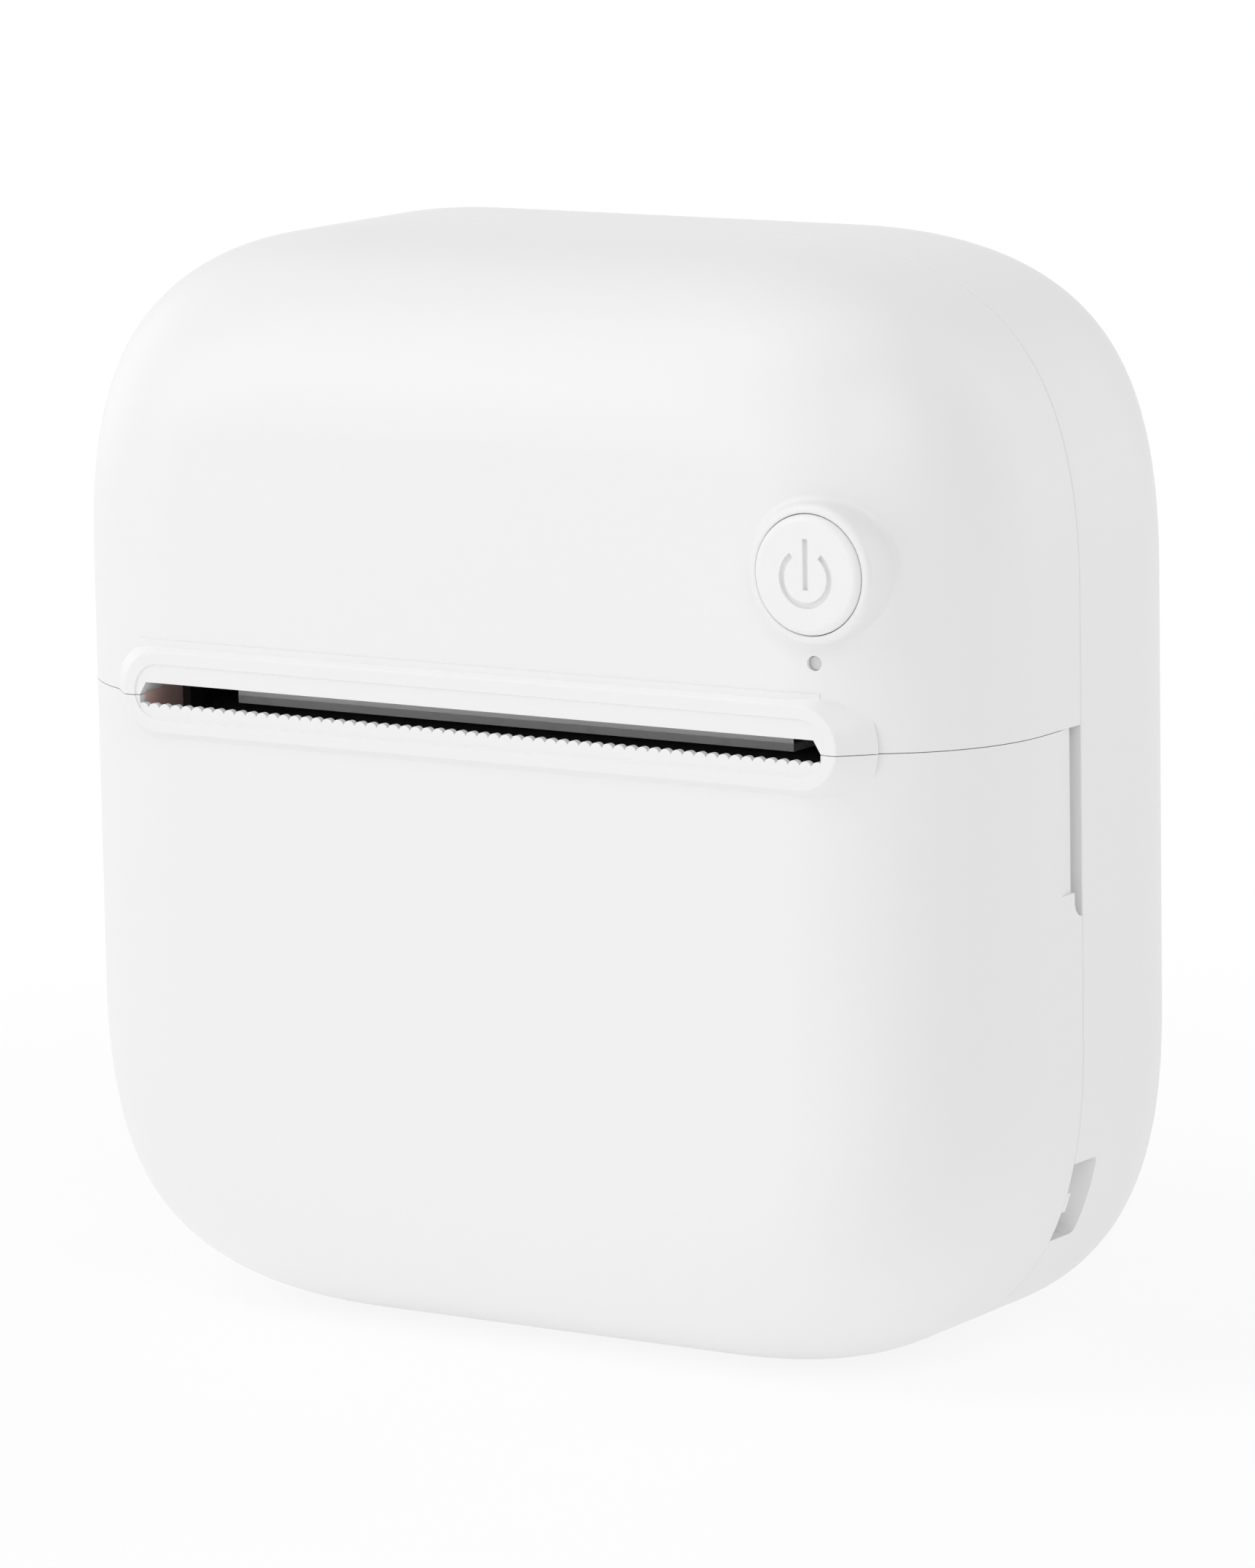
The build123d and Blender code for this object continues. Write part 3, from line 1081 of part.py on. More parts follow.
def paper_bay():
    """The space for the paper roll, open to the front."""
    x = (-BAY_HALF_WIDTH, BAY_HALF_WIDTH)
    mouth = plate_x(x, [
        (TROUGH_Y, TROUGH_HEIGHT),
        trough_point(TROUGH_FRONT_ANGLE, TROUGH_RADIUS * 2),
        (FRONT_Y, SHELF_HEIGHT),
        (SHELF_REAR_Y - CRADLE_WALL, SHELF_HEIGHT),
        trough_point(TROUGH_REAR_ANGLE, TROUGH_RADIUS),
    ])
    roll = rod_x(x, TROUGH_Y, TROUGH_HEIGHT, TROUGH_RADIUS)
    return (mouth + roll) & block(x, (-FAR, FAR), (-FAR, SHELF_HEIGHT))


def cradle_boss():
    """The right-hand boss that takes a lower case screw, on a web from the side wall."""
    end = LOWER_SEAT_Y - LOWER_BOSS_FLOOR
    start = end - CRADLE_BOSS_LENGTH
    boss = rod_y(LOWER_SCREW_X, (start, end), LOWER_SCREW_Z, CRADLE_BOSS_RADIUS)
    half = CRADLE_WALL / 2
    web_z = (LOWER_SCREW_Z - half, LOWER_SCREW_Z + half)
    boss += block((BAY_HALF_WIDTH + half, LOWER_SCREW_X), (start, end), web_z)
    return boss - rod_y(LOWER_SCREW_X, (PILOT_END, FAR), LOWER_SCREW_Z, SCREW_RADIUS + SCREW_CLEARANCE)


def paper_cradle():
    """The white trough that the paper roll lies in, with the shelf for the frame."""
    cradle = cradle_block() - paper_bay()
    cradle &= pillow(WALL + RIM_CLEARANCE + RIM_THICKNESS + CRADLE_MARGIN / 2)
    low = SHELF_TOP_Z - SMALL_SCREW_LENGTH
    for x, y in foot_places():
        cradle += rod_z(x, y, (low, SHELF_TOP_Z - SHELF_THICKNESS / 2), SMALL_SCREW_RADIUS * 2)
        cradle -= rod_z(x, y, (low - 1, FAR), SMALL_SCREW_RADIUS + SCREW_CLEARANCE)
    return cradle + both_sides(cradle_boss())


# ---------------------------------------------------------------- button and light

def power_button():
    """The round button cap with its stem, retaining tabs and power symbol."""
    face_y = FRONT_Y - BUTTON_PROUD
    cap = rod_y(BUTTON_X, (face_y, face_y + BUTTON_DEPTH), BUTTON_Z, BUTTON_RADIUS)
    cap = fillet(cap.edges().group_by(Axis.Y)[0], BUTTON_SOFTENING)
    inside = BUTTON_RADIUS - BUTTON_SKIRT
    cap -= rod_y(BUTTON_X, (face_y + BUTTON_FACE_THICKNESS, FAR), BUTTON_Z, inside)
    stem_y = (face_y + BUTTON_FACE_THICKNESS - STEM_ROOT, PLUNGER_FRONT_Y)
    cap += rod_y(BUTTON_X, stem_y, BUTTON_Z, STEM_RADIUS)
    tab_y = (face_y + BUTTON_DEPTH - TAB_THICKNESS, face_y + BUTTON_DEPTH)
    tab_x = (BUTTON_RADIUS - BUTTON_SKIRT / 2, BUTTON_RADIUS + TAB_REACH)
    for angle in TAB_ANGLES:
        tab = block(tab_x, tab_y, (-TAB_WIDTH / 2, TAB_WIDTH / 2))
        cap += Pos(BUTTON_X, 0, BUTTON_Z) * Rot(0, -angle, 0) * tab
    return cap - power_symbol(face_y)


def power_symbol(face_y):
    """The engraved open ring and bar."""
    half = SYMBOL_STROKE / 2
    cut_y = (face_y - 1, face_y + SYMBOL_DEPTH)
    ring = rod_y(0, cut_y, 0, SYMBOL_RADIUS + half) - rod_y(0, (-FAR, FAR), 0, SYMBOL_RADIUS - half)
    reach = SYMBOL_RADIUS * 2
    spread = reach * tan(radians(SYMBOL_GAP_ANGLE))
    ring -= plate_y((-FAR, FAR), [(0, 0), (spread, reach), (-spread, reach)])
    bar = block((-half, half), cut_y, (SYMBOL_BAR_BOTTOM, SYMBOL_BAR_TOP))
    return Pos(BUTTON_X, 0, BUTTON_Z - SYMBOL_DROP) * (ring + bar)


def switch_plunger():
    """The switch's moving plunger, which rides with the button."""
    y = (PLUNGER_FRONT_Y, PLUNGER_FRONT_Y + SWITCH_PLUNGER)
    return rod_y(BUTTON_X, y, BUTTON_Z, SWITCH_PLUNGER_RADIUS)


def tact_switch():
    """The push switch on the front of the board, behind the button."""
    half = SWITCH_SIZE / 2
    y = (BOARD_FRONT_Y - SWITCH_HEIGHT, BOARD_FRONT_Y)
    body = block((BUTTON_X - half, BUTTON_X + half), y, (BUTTON_Z - half, BUTTON_Z + half))
    well_y = (y[0] - 1, y[0] + SWITCH_PLUNGER + BUTTON_TRAVEL)
    return body - rod_y(BUTTON_X, well_y, BUTTON_Z, SWITCH_PLUNGER_RADIUS + BUTTON_CLEARANCE)


def light_pipe():
    """The clear rod that carries the status light to the hole in the front."""
    surface = -(OUTER & rod_y(LIGHT_X, (-FAR, 0), LIGHT_Z, LIGHT_PIPE_RADIUS / 5)).bounding_box().min.Y
    start = -surface + LIGHT_PIPE_RECESS
    bend_y = INNER_FRONT_Y + LIGHT_PIPE_RUN
    end = (LIGHT_X, BOARD_FRONT_Y - LED_HEIGHT - LIGHT_PIPE_GAP, LED_Z)
    points = [(LIGHT_X, start, LIGHT_Z), (LIGHT_X, bend_y, LIGHT_Z), end]
    return lead(points, 2 * LIGHT_PIPE_RADIUS, LIGHT_PIPE_RADIUS)


# ---------------------------------------------------------------- electronics

def main_board():
    """The circuit board, cut to the front case's inside."""
    board = pillow(BOARD_MARGIN) & block((-FAR, FAR), (BOARD_FRONT_Y, BOARD_BACK_Y), (BOARD_BOTTOM, FAR))
    through = (BOARD_FRONT_Y - 1, BOARD_BACK_Y + 1)
    board -= both_sides(rod_y(UPPER_SCREW_X, through, UPPER_SCREW_Z, BOSS_RADIUS + BOSS_HOLE_GAP))
    for x, z in POST_PLACES:
        board -= rod_y(x, through, z, SMALL_SCREW_RADIUS + SCREW_CLEARANCE)
    return board


def board_block(x, z, height):
    """A box on the back of the board between two x and two z values."""
    return block(x, (BOARD_BACK_Y, BOARD_BACK_Y + height), z)


def status_led():
    """The small status light on the front of the board."""
    half = LED_SIZE / 2
    y = (BOARD_FRONT_Y - LED_HEIGHT, BOARD_FRONT_Y)
    return block((LIGHT_X - LED_SIZE, LIGHT_X + LED_SIZE), y, (LED_Z - half, LED_Z + half))


def wireless_module():
    """The screened radio module on the back of the board."""
    return board_block(WIRELESS_X, WIRELESS_Z, WIRELESS_HEIGHT)


def controller_chip():
    """The black controller chip on the back of the board."""
    return board_block(CHIP_X, CHIP_Z, CHIP_HEIGHT)


def battery_connector():
    """The white plug connector for the battery's leads."""
    x = (BATTERY_LEAD_X - BATTERY_LEAD_SPACING * 1.5, BATTERY_LEAD_X + BATTERY_LEAD_SPACING * 1.5)
    return board_block(x, (CONNECTOR_TOP - CONNECTOR_SIZE, CONNECTOR_TOP), CONNECTOR_HEIGHT)


def battery_lead(x):
    """One lead from the top of the battery to the top of its connector."""
    start_y = (BATTERY_FRONT_Y + BATTERY_BACK_Y) / 2
    end_y = BOARD_BACK_Y + CONNECTOR_HEIGHT / 2
    crest = CONNECTOR_TOP + LEAD_RISE
    points = [
        (x, start_y, BATTERY_TOP),
        (x, start_y, crest),
        (x, end_y, crest),
        (x, end_y, CONNECTOR_TOP),
    ]
    return lead(points, LEAD_BEND, LEAD_RADIUS)


def battery_lead_red():
    """The battery's positive lead."""
    return battery_lead(BATTERY_LEAD_X - BATTERY_LEAD_SPACING / 2)


def battery_lead_black():
    """The battery's negative lead."""
    return battery_lead(BATTERY_LEAD_X + BATTERY_LEAD_SPACING / 2)


def motor_connector():
    """The white connector for the motor's leads."""
    half = MOTOR_LEAD_SPACING * 2.5
    z = (MOTOR_LEAD_Z - CONNECTOR_SIZE / 2, MOTOR_LEAD_Z + CONNECTOR_SIZE / 2)
    return board_block((MOTOR_LEAD_X - half, MOTOR_LEAD_X + half), z, CONNECTOR_HEIGHT)


def motor_leads():
    """The motor's four leads, from the can's end to the board."""
    leads = []
    for number in range(4):
        offset = (number - 1.5) * MOTOR_LEAD_SPACING
        y = MOTOR_Y + offset
        x = MOTOR_LEAD_X - offset
        start = PLATE_INNER - MOTOR_LENGTH
        z = MOTOR_Z + MOTOR_LEAD_LIFT
        points = [
            (start, y, z),
            (x, y, z),
            (x, y - MOTOR_LEAD_RUN, MOTOR_LEAD_Z),
            (x, BOARD_BACK_Y + CONNECTOR_HEIGHT, MOTOR_LEAD_Z),
        ]
        leads.append(lead(points, MOTOR_LEAD_SPACING, MOTOR_LEAD_RADIUS))
    return Compound(leads)


def head_connector():
    """The flat connector for the print head's ribbon."""
    x = (RIBBON_X - RIBBON_WIDTH / 2 - 1, RIBBON_X + RIBBON_WIDTH / 2 + 1)
    z = (RIBBON_Z - RIBBON_CONNECTOR / 2, RIBBON_Z + RIBBON_CONNECTOR / 2)
    return board_block(x, z, RIBBON_CONNECTOR / 2)


def head_ribbon():
    """The flat ribbon from the print head, behind the beam, to the board."""
    low = HEAD_TOP_Z + RIBBON_CLEARANCE
    back = FRAME_BEAM_Y + FRAME_BEAM_DEPTH + RIBBON_CLEARANCE * 2
    points = [
        (RIBBON_X, back - RIBBON_FOOT, low),
        (RIBBON_X, back, low),
        (RIBBON_X, back, RIBBON_Z),
        (RIBBON_X, BOARD_BACK_Y + RIBBON_CONNECTOR / 2, RIBBON_Z),
    ]
    path = FilletPolyline(*points, radius=RIBBON_BEND)
    section = Plane(path @ 0, x_dir=(1, 0, 0), z_dir=path % 0) * Rectangle(RIBBON_WIDTH, RIBBON_THICKNESS)
    return sweep(section, path=path)


def paper_sensor():
    """The small optical sensor on the frame's web, behind the roller."""
    y = (FRAME_WEB_Y - SENSOR_DEPTH, FRAME_WEB_Y)
    z = (SHELF_TOP_Z + 1, SHELF_TOP_Z + 1 + SENSOR_HEIGHT)
    return block((-SENSOR_WIDTH / 2, SENSOR_WIDTH / 2), y, z)


def usb_socket():
    """The metal shell of the charging socket at the left end of the board."""
    start = -BODY_WIDTH / 2 + USB_RECESS
    shell = usb_prism(start, start + USB_LENGTH, 0)
    return shell - usb_prism(start - 1, start + USB_LENGTH - USB_WALL, -USB_WALL)


def usb_tongue():
    """The contact tongue inside the charging socket."""
    start = -BODY_WIDTH / 2 + USB_RECESS
    y = BOARD_BACK_Y + USB_HEIGHT / 2
    x = (start + USB_WALL * 2, start + USB_LENGTH - USB_WALL)
    half_width = USB_WIDTH / 2 - USB_WALL * 4
    return block(x, (y - USB_WALL, y + USB_WALL), (USB_Z - half_width, USB_Z + half_width))


def board_screws():
    """The four screws that hold the board on its posts."""
    screw = Rot(-90, 0, 0) * small_screw()
    return Compound([Pos(x, BOARD_BACK_Y, z) * screw for x, z in POST_PLACES])


def frame_screws():
    """The two screws that hold the frame's feet on the shelf."""
    top = SHELF_TOP_Z + FRAME_FOOT_THICKNESS
    return Compound([Pos(x, y, top) * small_screw() for x, y in foot_places()])


def case_screws():
    """The four long screws driven from the back."""
    upper = screw_y(UPPER_SCREW_X, UPPER_SEAT_Y, UPPER_SCREW_Z)
    lower = screw_y(LOWER_SCREW_X, LOWER_SEAT_Y, LOWER_SCREW_Z)
    return Compound([upper, mirrored(upper), lower, mirrored(lower)])


def battery():
    """The lithium pouch cell behind the mechanism."""
    x = (-BATTERY_HALF_WIDTH, BATTERY_HALF_WIDTH)
    cell = block(x, (BATTERY_FRONT_Y, BATTERY_BACK_Y), (BATTERY_BOTTOM, BATTERY_TOP))
    return fillet(cell.edges().filter_by(Axis.X), (BATTERY_BACK_Y - BATTERY_FRONT_Y) / 3)


parts = {
    "front_case": front_case, "rear_case": rear_case, "front_cover": front_cover,
    "hinge_pins": hinge_pins,
    "platen_roller": platen_roller, "platen_shaft": platen_shaft, "roller_bushings": roller_bushings,
    "platen_gear": platen_gear, "idler_gear": idler_gear, "idler_axle": idler_axle,
    "motor_pinion": motor_pinion, "motor_shaft": motor_shaft, "stepper_motor": stepper_motor,
    "mechanism_frame": mechanism_frame, "head_plate": head_plate, "heating_line": heating_line,
    "head_pivot_pin": head_pivot_pin, "head_springs": head_springs, "paper_cradle": paper_cradle,
    "edge_guide": edge_guide,
    "power_button": power_button, "switch_plunger": switch_plunger, "tact_switch": tact_switch,
    "light_pipe": light_pipe, "main_board": main_board, "usb_socket": usb_socket, "usb_tongue": usb_tongue,
    "board_screws": board_screws, "frame_screws": frame_screws, "case_screws": case_screws,
    "battery": battery, "battery_connector": battery_connector, "battery_lead_red": battery_lead_red,
    "battery_lead_black": battery_lead_black, "motor_connector": motor_connector, "motor_leads": motor_leads,
    "head_connector": head_connector, "head_ribbon": head_ribbon, "paper_sensor": paper_sensor,
    "status_led": status_led, "wireless_module": wireless_module, "controller_chip": controller_chip,
}

if __name__ == "__main__":
    os.makedirs("parts", exist_ok=True)
    for name, make in parts.items():
        export_step(make(), f"parts/{name}.step")
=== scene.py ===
"""Pocket thermal printer: procedural finishes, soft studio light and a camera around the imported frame.

Units are metres in the row frame: +Z up, the paper slot's face towards -Y, the origin in the middle of the base.
"""

import math

import bpy
from mathutils import Matrix, Vector


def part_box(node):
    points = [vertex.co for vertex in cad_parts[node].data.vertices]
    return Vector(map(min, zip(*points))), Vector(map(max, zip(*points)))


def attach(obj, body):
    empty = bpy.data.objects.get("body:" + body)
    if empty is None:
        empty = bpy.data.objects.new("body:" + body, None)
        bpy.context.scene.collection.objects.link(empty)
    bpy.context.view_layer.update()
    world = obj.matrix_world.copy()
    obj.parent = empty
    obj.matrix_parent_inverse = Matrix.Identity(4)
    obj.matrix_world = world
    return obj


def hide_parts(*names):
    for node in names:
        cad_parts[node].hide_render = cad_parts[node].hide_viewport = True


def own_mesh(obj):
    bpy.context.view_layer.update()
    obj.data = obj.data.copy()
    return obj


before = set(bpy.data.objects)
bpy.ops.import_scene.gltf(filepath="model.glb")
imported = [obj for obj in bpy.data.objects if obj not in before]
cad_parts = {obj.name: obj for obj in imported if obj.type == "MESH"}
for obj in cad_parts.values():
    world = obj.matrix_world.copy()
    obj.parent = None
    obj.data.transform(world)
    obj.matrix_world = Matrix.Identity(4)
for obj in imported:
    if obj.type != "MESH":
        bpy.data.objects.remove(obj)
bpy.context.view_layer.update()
scene = bpy.context.scene
MM = 0.001
WHITE = (1.0, 1.0, 1.0, 1.0)

# ---------------------------------------------------------------- camera
IMAGE_LONG_SIDE = 2156
FOCAL_PIXELS = 11060.0
CAMERA_AZIMUTH = math.radians(32.77)
CAMERA_ELEVATION = math.radians(9.79)
CAMERA_ROLL = math.radians(-1.02)
CAMERA_DISTANCE = 0.61542
AIM = Vector((0.0, 0.0, 0.042))
SHIFT_PIXELS = (11.44, -13.99)
SENSOR = 36.0
CLIP = (0.01, 20.0)


def direction(azimuth, elevation):
    """The unit vector from the object to that azimuth and elevation, both in radians."""
    flat = math.cos(elevation)
    return Vector((math.sin(azimuth) * flat, -math.cos(azimuth) * flat, math.sin(elevation)))


def add_camera():
    """The camera stands to the right of the front face and a little above it."""
    back = direction(CAMERA_AZIMUTH, CAMERA_ELEVATION)
    right = Vector((math.cos(CAMERA_AZIMUTH), math.sin(CAMERA_AZIMUTH), 0.0))
    up = back.cross(right)
    cos_roll, sin_roll = math.cos(CAMERA_ROLL), math.sin(CAMERA_ROLL)
    x_axis = right * cos_roll + up * sin_roll
    y_axis = up * cos_roll - right * sin_roll
    turn = Matrix((x_axis, y_axis, back)).transposed().to_4x4()
    data = bpy.data.cameras.new("camera")
    data.sensor_width = SENSOR
    data.lens = SENSOR * FOCAL_PIXELS / IMAGE_LONG_SIDE
    data.shift_x = SHIFT_PIXELS[0] / IMAGE_LONG_SIDE
    data.shift_y = SHIFT_PIXELS[1] / IMAGE_LONG_SIDE
    data.clip_start, data.clip_end = CLIP
    camera = bpy.data.objects.new("camera", data)
    camera.matrix_world = Matrix.Translation(AIM + back * CAMERA_DISTANCE) @ turn
    scene.collection.objects.link(camera)
    scene.camera = camera


# ---------------------------------------------------------------- light
LAMP_DISTANCE = 1.2
# name, azimuth and elevation it shines from in degrees, side of its square, power in watts
LAMPS = (
    ("left_mid", -100.0, 35.0, 0.6, 0.345),
    ("left_high", -100.0, 60.0, 0.5, 0.325),
    ("left_low", -100.0, 8.0, 0.8, 0.995),
    ("key_mid", -40.0, 35.0, 0.6, 1.59),
    ("key_high", -40.0, 60.0, 0.5, 1.6),
    ("key_low", -40.0, 8.0, 0.8, 2.31),
    ("rear_mid", 140.0, 35.0, 0.6, 1.025),
    ("rear_low", 140.0, 8.0, 0.8, 1.245),
    ("front_low", 20.0, 8.0, 0.8, 0.66),
    ("right_mid", 50.0, 35.0, 0.6, 2.01),
    ("right_low", 50.0, 8.0, 0.8, 0.205),
    ("top", 0.0, 88.0, 0.6, 0.98),
)
WORLD_LEVEL = 0.431


def add_lamp(name, azimuth, elevation, side, power):
    """A square lamp that faces the object and isn't seen by the camera."""
    back = direction(math.radians(azimuth), math.radians(elevation))
    data = bpy.data.lights.new(name, "AREA")
    data.shape = "RECTANGLE"
    data.size, data.size_y = side, side
    data.energy = power
    lamp = bpy.data.objects.new("lamp_" + name, data)
    lamp.location = AIM + back * LAMP_DISTANCE
    lamp.rotation_euler = (-back).to_track_quat("-Z", "Y").to_euler()
    lamp.visible_camera = False
    scene.collection.objects.link(lamp)


# ---------------------------------------------------------------- shader nodes
def node(tree, kind, **values):
    """A shader node with attributes and input values by name."""
    made = tree.nodes.new("ShaderNode" + kind)
    for name, value in values.items():
        if hasattr(made, name):
            setattr(made, name, value)
        else:
            made.inputs[name.replace("_", " ")].default_value = value
    return made


def maths(tree, operation, first, second):
    """A calculation with a socket and a socket or number."""
    made = node(tree, "Math", operation=operation)
    tree.links.new(first, made.inputs[0])
    if isinstance(second, float):
        made.inputs[1].default_value = second
    else:
        tree.links.new(second, made.inputs[1])
    return made.outputs[0]


def blended(tree, factor, first, second):
    """One shader at 0 and another at 1."""
    made = node(tree, "MixShader")
    for place, socket in enumerate((factor, first, second)):
        tree.links.new(socket, made.inputs[place])
    return made.outputs[0]


def emptied(data):
    """The node tree of a material or world, with nothing in it."""
    data.use_nodes = True
    data.node_tree.nodes.clear()
    return data.node_tree


def background_rays(tree):
    """1 for camera, glossy and transmission rays, which see the white background, and 0 for the rest."""
    rays = node(tree, "LightPath").outputs
    glossy = maths(tree, "MAXIMUM", rays["Is Camera Ray"], rays["Is Glossy Ray"])
    return maths(tree, "MAXIMUM", glossy, rays["Is Transmission Ray"])


def set_world():
    """An even grey room for the light, which the camera sees as white."""
    world = bpy.data.worlds.new("studio")
    scene.world = world
    tree = emptied(world)
    room = node(tree, "Background", Color=WHITE, Strength=WORLD_LEVEL)
    seen = node(tree, "Background", Color=WHITE, Strength=1.0)
    surface = blended(tree, background_rays(tree), room.outputs[0], seen.outputs[0])
    tree.links.new(surface, node(tree, "OutputWorld").inputs[0])


# ---------------------------------------------------------------- finishes
NOISE_RANGE = (0.3, 0.7)     # where the noise's values mostly lie
SLOW_DETAIL, GRAIN_DETAIL = 2.0, 3.0
TURNED = (0.05, 8, 8)        # marks that run round an axis along X
BRUSHED = (8, 1, 1)          # marks that run along X
METAL = {"metallic": 1.0}
# name: colour, its change and the size of that in mm, roughness, grain in mm and its height in mm, the rest
FINISHES = {
    "white_shell": ((0.86, 0.86, 0.858), 0.006, 30, (0.36, 0.42), 0.22, 0.0012, {}),
    "white_inner": ((0.80, 0.80, 0.795), 0.015, 20, (0.5, 0.58), 0.3, 0.003, {}),
    "button_white": ((0.87, 0.87, 0.868), 0.005, 6, (0.32, 0.38), 0.2, 0.0008, {}),
    "frame_black": ((0.03, 0.03, 0.031), 0.2, 3, (0.42, 0.55), 0.25, 0.006, {}),
    "roller_rubber": ((0.022, 0.022, 0.022), 0.2, 2, (0.6, 0.75), 0.12, 0.006, {"stretch": TURNED}),
    "shaft_steel": ((0.6, 0.6, 0.61), 0.06, 1, (0.18, 0.3), 0.1, 0.002, {"stretch": TURNED, **METAL}),
    "screw_steel": ((0.5, 0.5, 0.51), 0.1, 0.8, (0.25, 0.4), 0.15, 0.003, METAL),
    "spring_steel": ((0.55, 0.55, 0.55), 0.06, 1, (0.2, 0.32), 0.1, 0.001, METAL),
    "motor_steel": ((0.62, 0.62, 0.6), 0.06, 2, (0.3, 0.45), 0.2, 0.003, METAL),
    "gear_plastic": ((0.78, 0.77, 0.71), 0.03, 2, (0.35, 0.45), 0.2, 0.002, {}),
    "bushing_plastic": ((0.30, 0.17, 0.145), 0.08, 1, (0.4, 0.5), 0.2, 0.002, {}),
    # painted light: a much lighter copy of the bushing plastic, so that the guide reads bright in the slot's
    # shade
    "guide_plastic_painted_light": ((0.92, 0.62, 0.58), 0.05, 1, (0.35, 0.45), 0.2, 0.002, {}),
    "pinion_brass": ((0.75, 0.52, 0.22), 0.08, 1, (0.22, 0.35), 0.1, 0.002, METAL),
    "head_aluminium": ((0.55, 0.55, 0.56), 0.05, 2, (0.35, 0.5), 0.1, 0.003, {"stretch": BRUSHED, **METAL}),
    "head_ceramic": ((0.72, 0.72, 0.725), 0.04, 3, (0.25, 0.32), 0.3, 0.001, {}),
    "board_green": ((0.02, 0.12, 0.05), 0.12, 2, (0.25, 0.35), 0.3, 0.004, {}),
    "connector_white": ((0.74, 0.72, 0.62), 0.02, 2, (0.4, 0.5), 0.2, 0.002, {}),
    "chip_black": ((0.02, 0.02, 0.022), 0.2, 1, (0.5, 0.62), 0.12, 0.004, {}),
    "shield_metal": ((0.66, 0.66, 0.65), 0.05, 3, (0.28, 0.4), 0.2, 0.002, METAL),
    "socket_steel": ((0.6, 0.6, 0.6), 0.05, 2, (0.22, 0.34), 0.1, 0.001, METAL),
    "ribbon_film": ((0.36, 0.16, 0.035), 0.08, 2, (0.2, 0.3), 0.4, 0.002, {}),
    "lead_red": ((0.5, 0.02, 0.015), 0.06, 2, (0.35, 0.45), 0.2, 0.002, {}),
    "lead_black": ((0.015, 0.015, 0.015), 0.1, 2, (0.35, 0.45), 0.2, 0.002, {}),
    "lead_grey": ((0.3, 0.3, 0.32), 0.06, 2, (0.35, 0.45), 0.2, 0.002, {}),
    "battery_foil": ((0.62, 0.63, 0.64), 0.04, 3, (0.3, 0.42), 1.5, 0.03, METAL),
    "light_clear": ((0.88, 0.88, 0.88), 0.01, 1, (0.2, 0.3), 0.2, 0.001, {"Transmission_Weight": 0.25}),
    "led_body": ((0.78, 0.76, 0.55), 0.02, 0.5, (0.2, 0.3), 0.1, 0.001, {}),
}
# the paper's guide takes a lighter copy of its slot's plastic, which is painted light for the shade it sits in
OWN_FINISH = {"edge_guide": "guide_plastic_painted_light"}   # nodes that don't take the finish of their slot's name


def noise(tree, size, stretch=(1, 1, 1), detail=SLOW_DETAIL):
    """Noise with features of that size in metres, stretched along the axes."""
    mapping = node(tree, "Mapping")
    mapping.inputs["Scale"].default_value = [1.0 / (size * s) for s in stretch]
    tree.links.new(node(tree, "TexCoord").outputs["Object"], mapping.inputs["Vector"])
    made = node(tree, "TexNoise", Scale=1.0, Detail=detail, Roughness=0.55)
    tree.links.new(mapping.outputs[0], made.inputs["Vector"])
    return made.outputs["Fac"]


def ranged(tree, value, limits, results):
    """The value moved from between the limits to between the results."""
    made = node(tree, "MapRange", From_Min=limits[0], From_Max=limits[1], To_Min=results[0], To_Max=results[1])
    tree.links.new(value, made.inputs["Value"])
    return made.outputs["Result"]


def mixed(tree, factor, first, second):
    """A colour between two, which are colours or sockets."""
    made = node(tree, "Mix", data_type="RGBA")
    tree.links.new(factor, made.inputs["Factor"])
    for socket, colour in ((made.inputs[6], first), (made.inputs[7], second)):
        if isinstance(colour, tuple):
            socket.default_value = (*colour, 1.0)
        else:
            tree.links.new(colour, socket)
    return made.outputs[2]


def finish(name, colour, change, change_size, rough, grain, height, stretch=(1, 1, 1), metallic=0.0, **constants):
    """A surface with a slow change of colour and roughness and a fine grain."""
    material = bpy.data.materials.new(name)
    material.use_nodes = True
    tree = material.node_tree
    shader = tree.nodes["Principled BSDF"]
    slow = noise(tree, change_size * MM, stretch)
    darker, lighter = (tuple(min(1.0, c * share) for c in colour) for share in (1 - change, 1 + change))
    tree.links.new(mixed(tree, slow, darker, lighter), shader.inputs["Base Color"])
    tree.links.new(ranged(tree, slow, NOISE_RANGE, rough), shader.inputs["Roughness"])
    bump = node(tree, "Bump", Strength=1.0, Distance=height * MM)
    tree.links.new(noise(tree, grain * MM, stretch, GRAIN_DETAIL), bump.inputs["Height"])
    tree.links.new(bump.outputs[0], shader.inputs["Normal"])
    shader.inputs["Metallic"].default_value = metallic
    for key, value in constants.items():
        shader.inputs[key.replace("_", " ")].default_value = value
    return material


TRACK_COLOUR = (0.05, 0.22, 0.09)
WAVE_PERIOD = 0.314          # period of the wave texture at a scale of 1
TRACK_WIDTH_LEVEL = 0.8      # above it the wave is a track
PATCH_LEVEL = 0.53           # above it the noise holds a group of tracks
# axis, pitch in mm, size of a group in mm, stretch of the groups
TRACKS = (("X", 0.9, 7, (1, 1, 1.0)), ("Z", 1.3, 5, (1, 1, 0.8)))


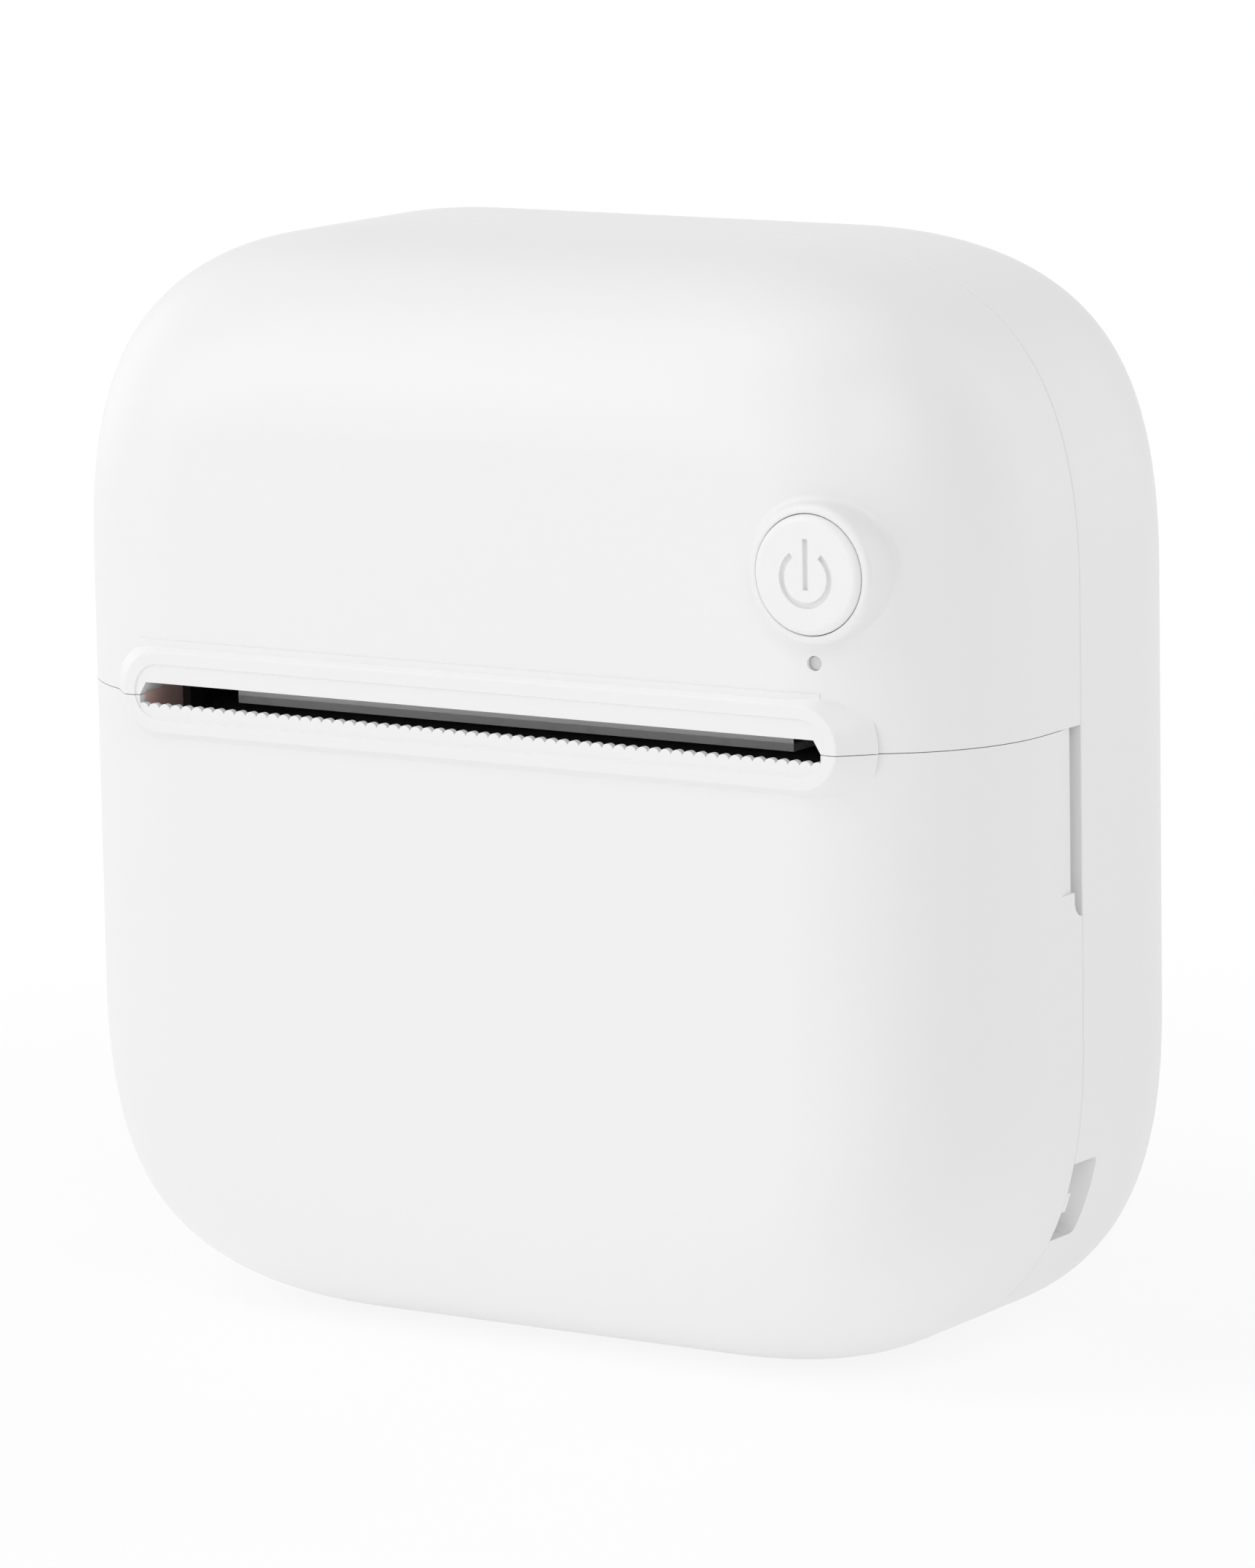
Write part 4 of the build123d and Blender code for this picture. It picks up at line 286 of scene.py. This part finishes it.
def add_tracks(material):
    """Groups of pale copper tracks under the board's solder mask."""
    tree = material.node_tree
    base = tree.nodes["Principled BSDF"].inputs["Base Color"]
    covers = []
    for axis, pitch, patch, stretch in TRACKS:
        lines = node(tree, "TexWave", wave_type="BANDS", bands_direction=axis, Scale=WAVE_PERIOD / (pitch * MM))
        tree.links.new(node(tree, "TexCoord").outputs["Object"], lines.inputs["Vector"])
        thin = maths(tree, "GREATER_THAN", lines.outputs["Fac"], TRACK_WIDTH_LEVEL)
        group = maths(tree, "GREATER_THAN", noise(tree, patch * MM, stretch, 0.0), PATCH_LEVEL)
        covers.append(maths(tree, "MULTIPLY", thin, group))
    tracks = maths(tree, "MAXIMUM", *covers)
    tree.links.new(mixed(tree, tracks, base.links[0].from_socket, TRACK_COLOUR), base)


def paint():
    """Every material slot of the record gets its finish, and the paper's guide a lighter one of its own, as
    painted light for the slot's shade.
    """
    made = {}
    for name, (*values, rest) in FINISHES.items():
        made[name] = finish(name, *values, **rest)
    add_tracks(made["board_green"])
    for name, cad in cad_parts.items():
        for place in cad.material_slots:
            place.material = made[OWN_FINISH.get(name, place.material.name.split(".")[0])]


# ---------------------------------------------------------------- springs
SPRING_RADIUS, SPRING_WIRE, SPRING_TURNS = 1.7 * MM, 0.3 * MM, 5
COIL_STEPS, WIRE_SIDES = 28, 10


def coil(side, centre_x, centre_y, bottom, top, start):
    """One coil's points and faces, the left one the mirror image of the right one."""
    steps = COIL_STEPS * SPRING_TURNS
    points = []
    for step in range(steps + 1):
        turn = 2 * math.pi * SPRING_TURNS * step / steps
        for corner in range(WIRE_SIDES):
            around = 2 * math.pi * corner / WIRE_SIDES
            radius = SPRING_RADIUS + SPRING_WIRE * math.cos(around)
            rise = bottom + (top - bottom) * step / steps + SPRING_WIRE * math.sin(around)
            x = side * (centre_x + radius * math.cos(turn))
            points.append((x, centre_y + radius * math.sin(turn), rise))
    rings = [[start + step * WIRE_SIDES + k for k in range(WIRE_SIDES)] for step in range(steps + 1)]
    faces = []
    for a, b in zip(rings, rings[1:]):
        faces += [(a[k], a[(k + 1) % WIRE_SIDES], b[(k + 1) % WIRE_SIDES], b[k]) for k in range(WIRE_SIDES)]
    faces += [tuple(reversed(rings[0])), tuple(rings[-1])]
    return points, faces if side < 0 else [tuple(reversed(face)) for face in faces]


def add_springs():
    """The two coils over the print head, built once between the ends of the spring piece and carried by the base.
    """
    low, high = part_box("head_springs")
    centre_x, centre_y = high.x - (SPRING_RADIUS + SPRING_WIRE), (low.y + high.y) / 2
    points, faces = [], []
    for side in (1, -1):
        made = coil(side, centre_x, centre_y, low.z + SPRING_WIRE, high.z - SPRING_WIRE, len(points))
        points += made[0]
        faces += made[1]
    mesh = bpy.data.meshes.new("spring_coils")
    mesh.from_pydata(points, [], faces)
    mesh.update()
    mesh.shade_smooth()
    coils = bpy.data.objects.new("spring_coils", mesh)
    scene.collection.objects.link(coils)
    mesh.materials.append(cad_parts["head_springs"].material_slots[0].material)
    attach(coils, "base")
    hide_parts("head_springs")
    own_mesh(coils)


# ---------------------------------------------------------------- floor
FLOOR_RADIUS, FLOOR_SIDES = 4.0, 96
FLOOR_LEVEL = -0.00005       # just under the base
FLOOR_ALBEDO = 0.8
FLOOR_FILL = 0.295           # soft light that the floor adds under the object
FLOOR_WHITE_SHARE = 0.82     # the rest of the floor's look is its lit surface, with the shadow
FLOOR_SHADOW_REACH = (0.05, 0.16)


def add_floor():
    """A plain white floor that keeps the printer's soft shadow."""
    bpy.ops.mesh.primitive_circle_add(
        vertices=FLOOR_SIDES, radius=FLOOR_RADIUS, fill_type="NGON", location=(0, 0, FLOOR_LEVEL))
    floor = bpy.context.object
    floor.name = "floor"
    material = bpy.data.materials.new("floor")
    tree = emptied(material)
    diffuse = node(tree, "BsdfDiffuse", Color=(FLOOR_ALBEDO, FLOOR_ALBEDO, FLOOR_ALBEDO, 1.0)).outputs[0]
    pale = node(tree, "BsdfDiffuse", Color=WHITE).outputs[0]
    white = node(tree, "Emission", Strength=1.0).outputs[0]
    clear = node(tree, "BsdfTransparent").outputs[0]
    lit = node(tree, "AddShader")
    tree.links.new(diffuse, lit.inputs[0])
    tree.links.new(node(tree, "Emission", Strength=FLOOR_FILL).outputs[0], lit.inputs[1])
    reach = node(tree, "VectorMath", operation="LENGTH")
    tree.links.new(node(tree, "TexCoord").outputs["Object"], reach.inputs[0])
    share = ranged(tree, reach.outputs["Value"], FLOOR_SHADOW_REACH, (FLOOR_WHITE_SHARE, 1.0))
    reflected = blended(tree, background_rays(tree), lit.outputs[0], blended(tree, share, pale, white))
    # For the camera the white share is clear, and the white world shows through it. The open cover hangs
    # lower than the base, and stays in sight that way.
    is_camera = node(tree, "LightPath").outputs["Is Camera Ray"]
    surface = blended(tree, is_camera, reflected, blended(tree, share, pale, clear))
    tree.links.new(surface, node(tree, "OutputMaterial").inputs[0])
    floor.data.materials.append(material)


add_camera()
set_world()
for lamp in LAMPS:
    add_lamp(*lamp)
paint()
add_springs()
add_floor()
scene.view_settings.view_transform = "Standard"
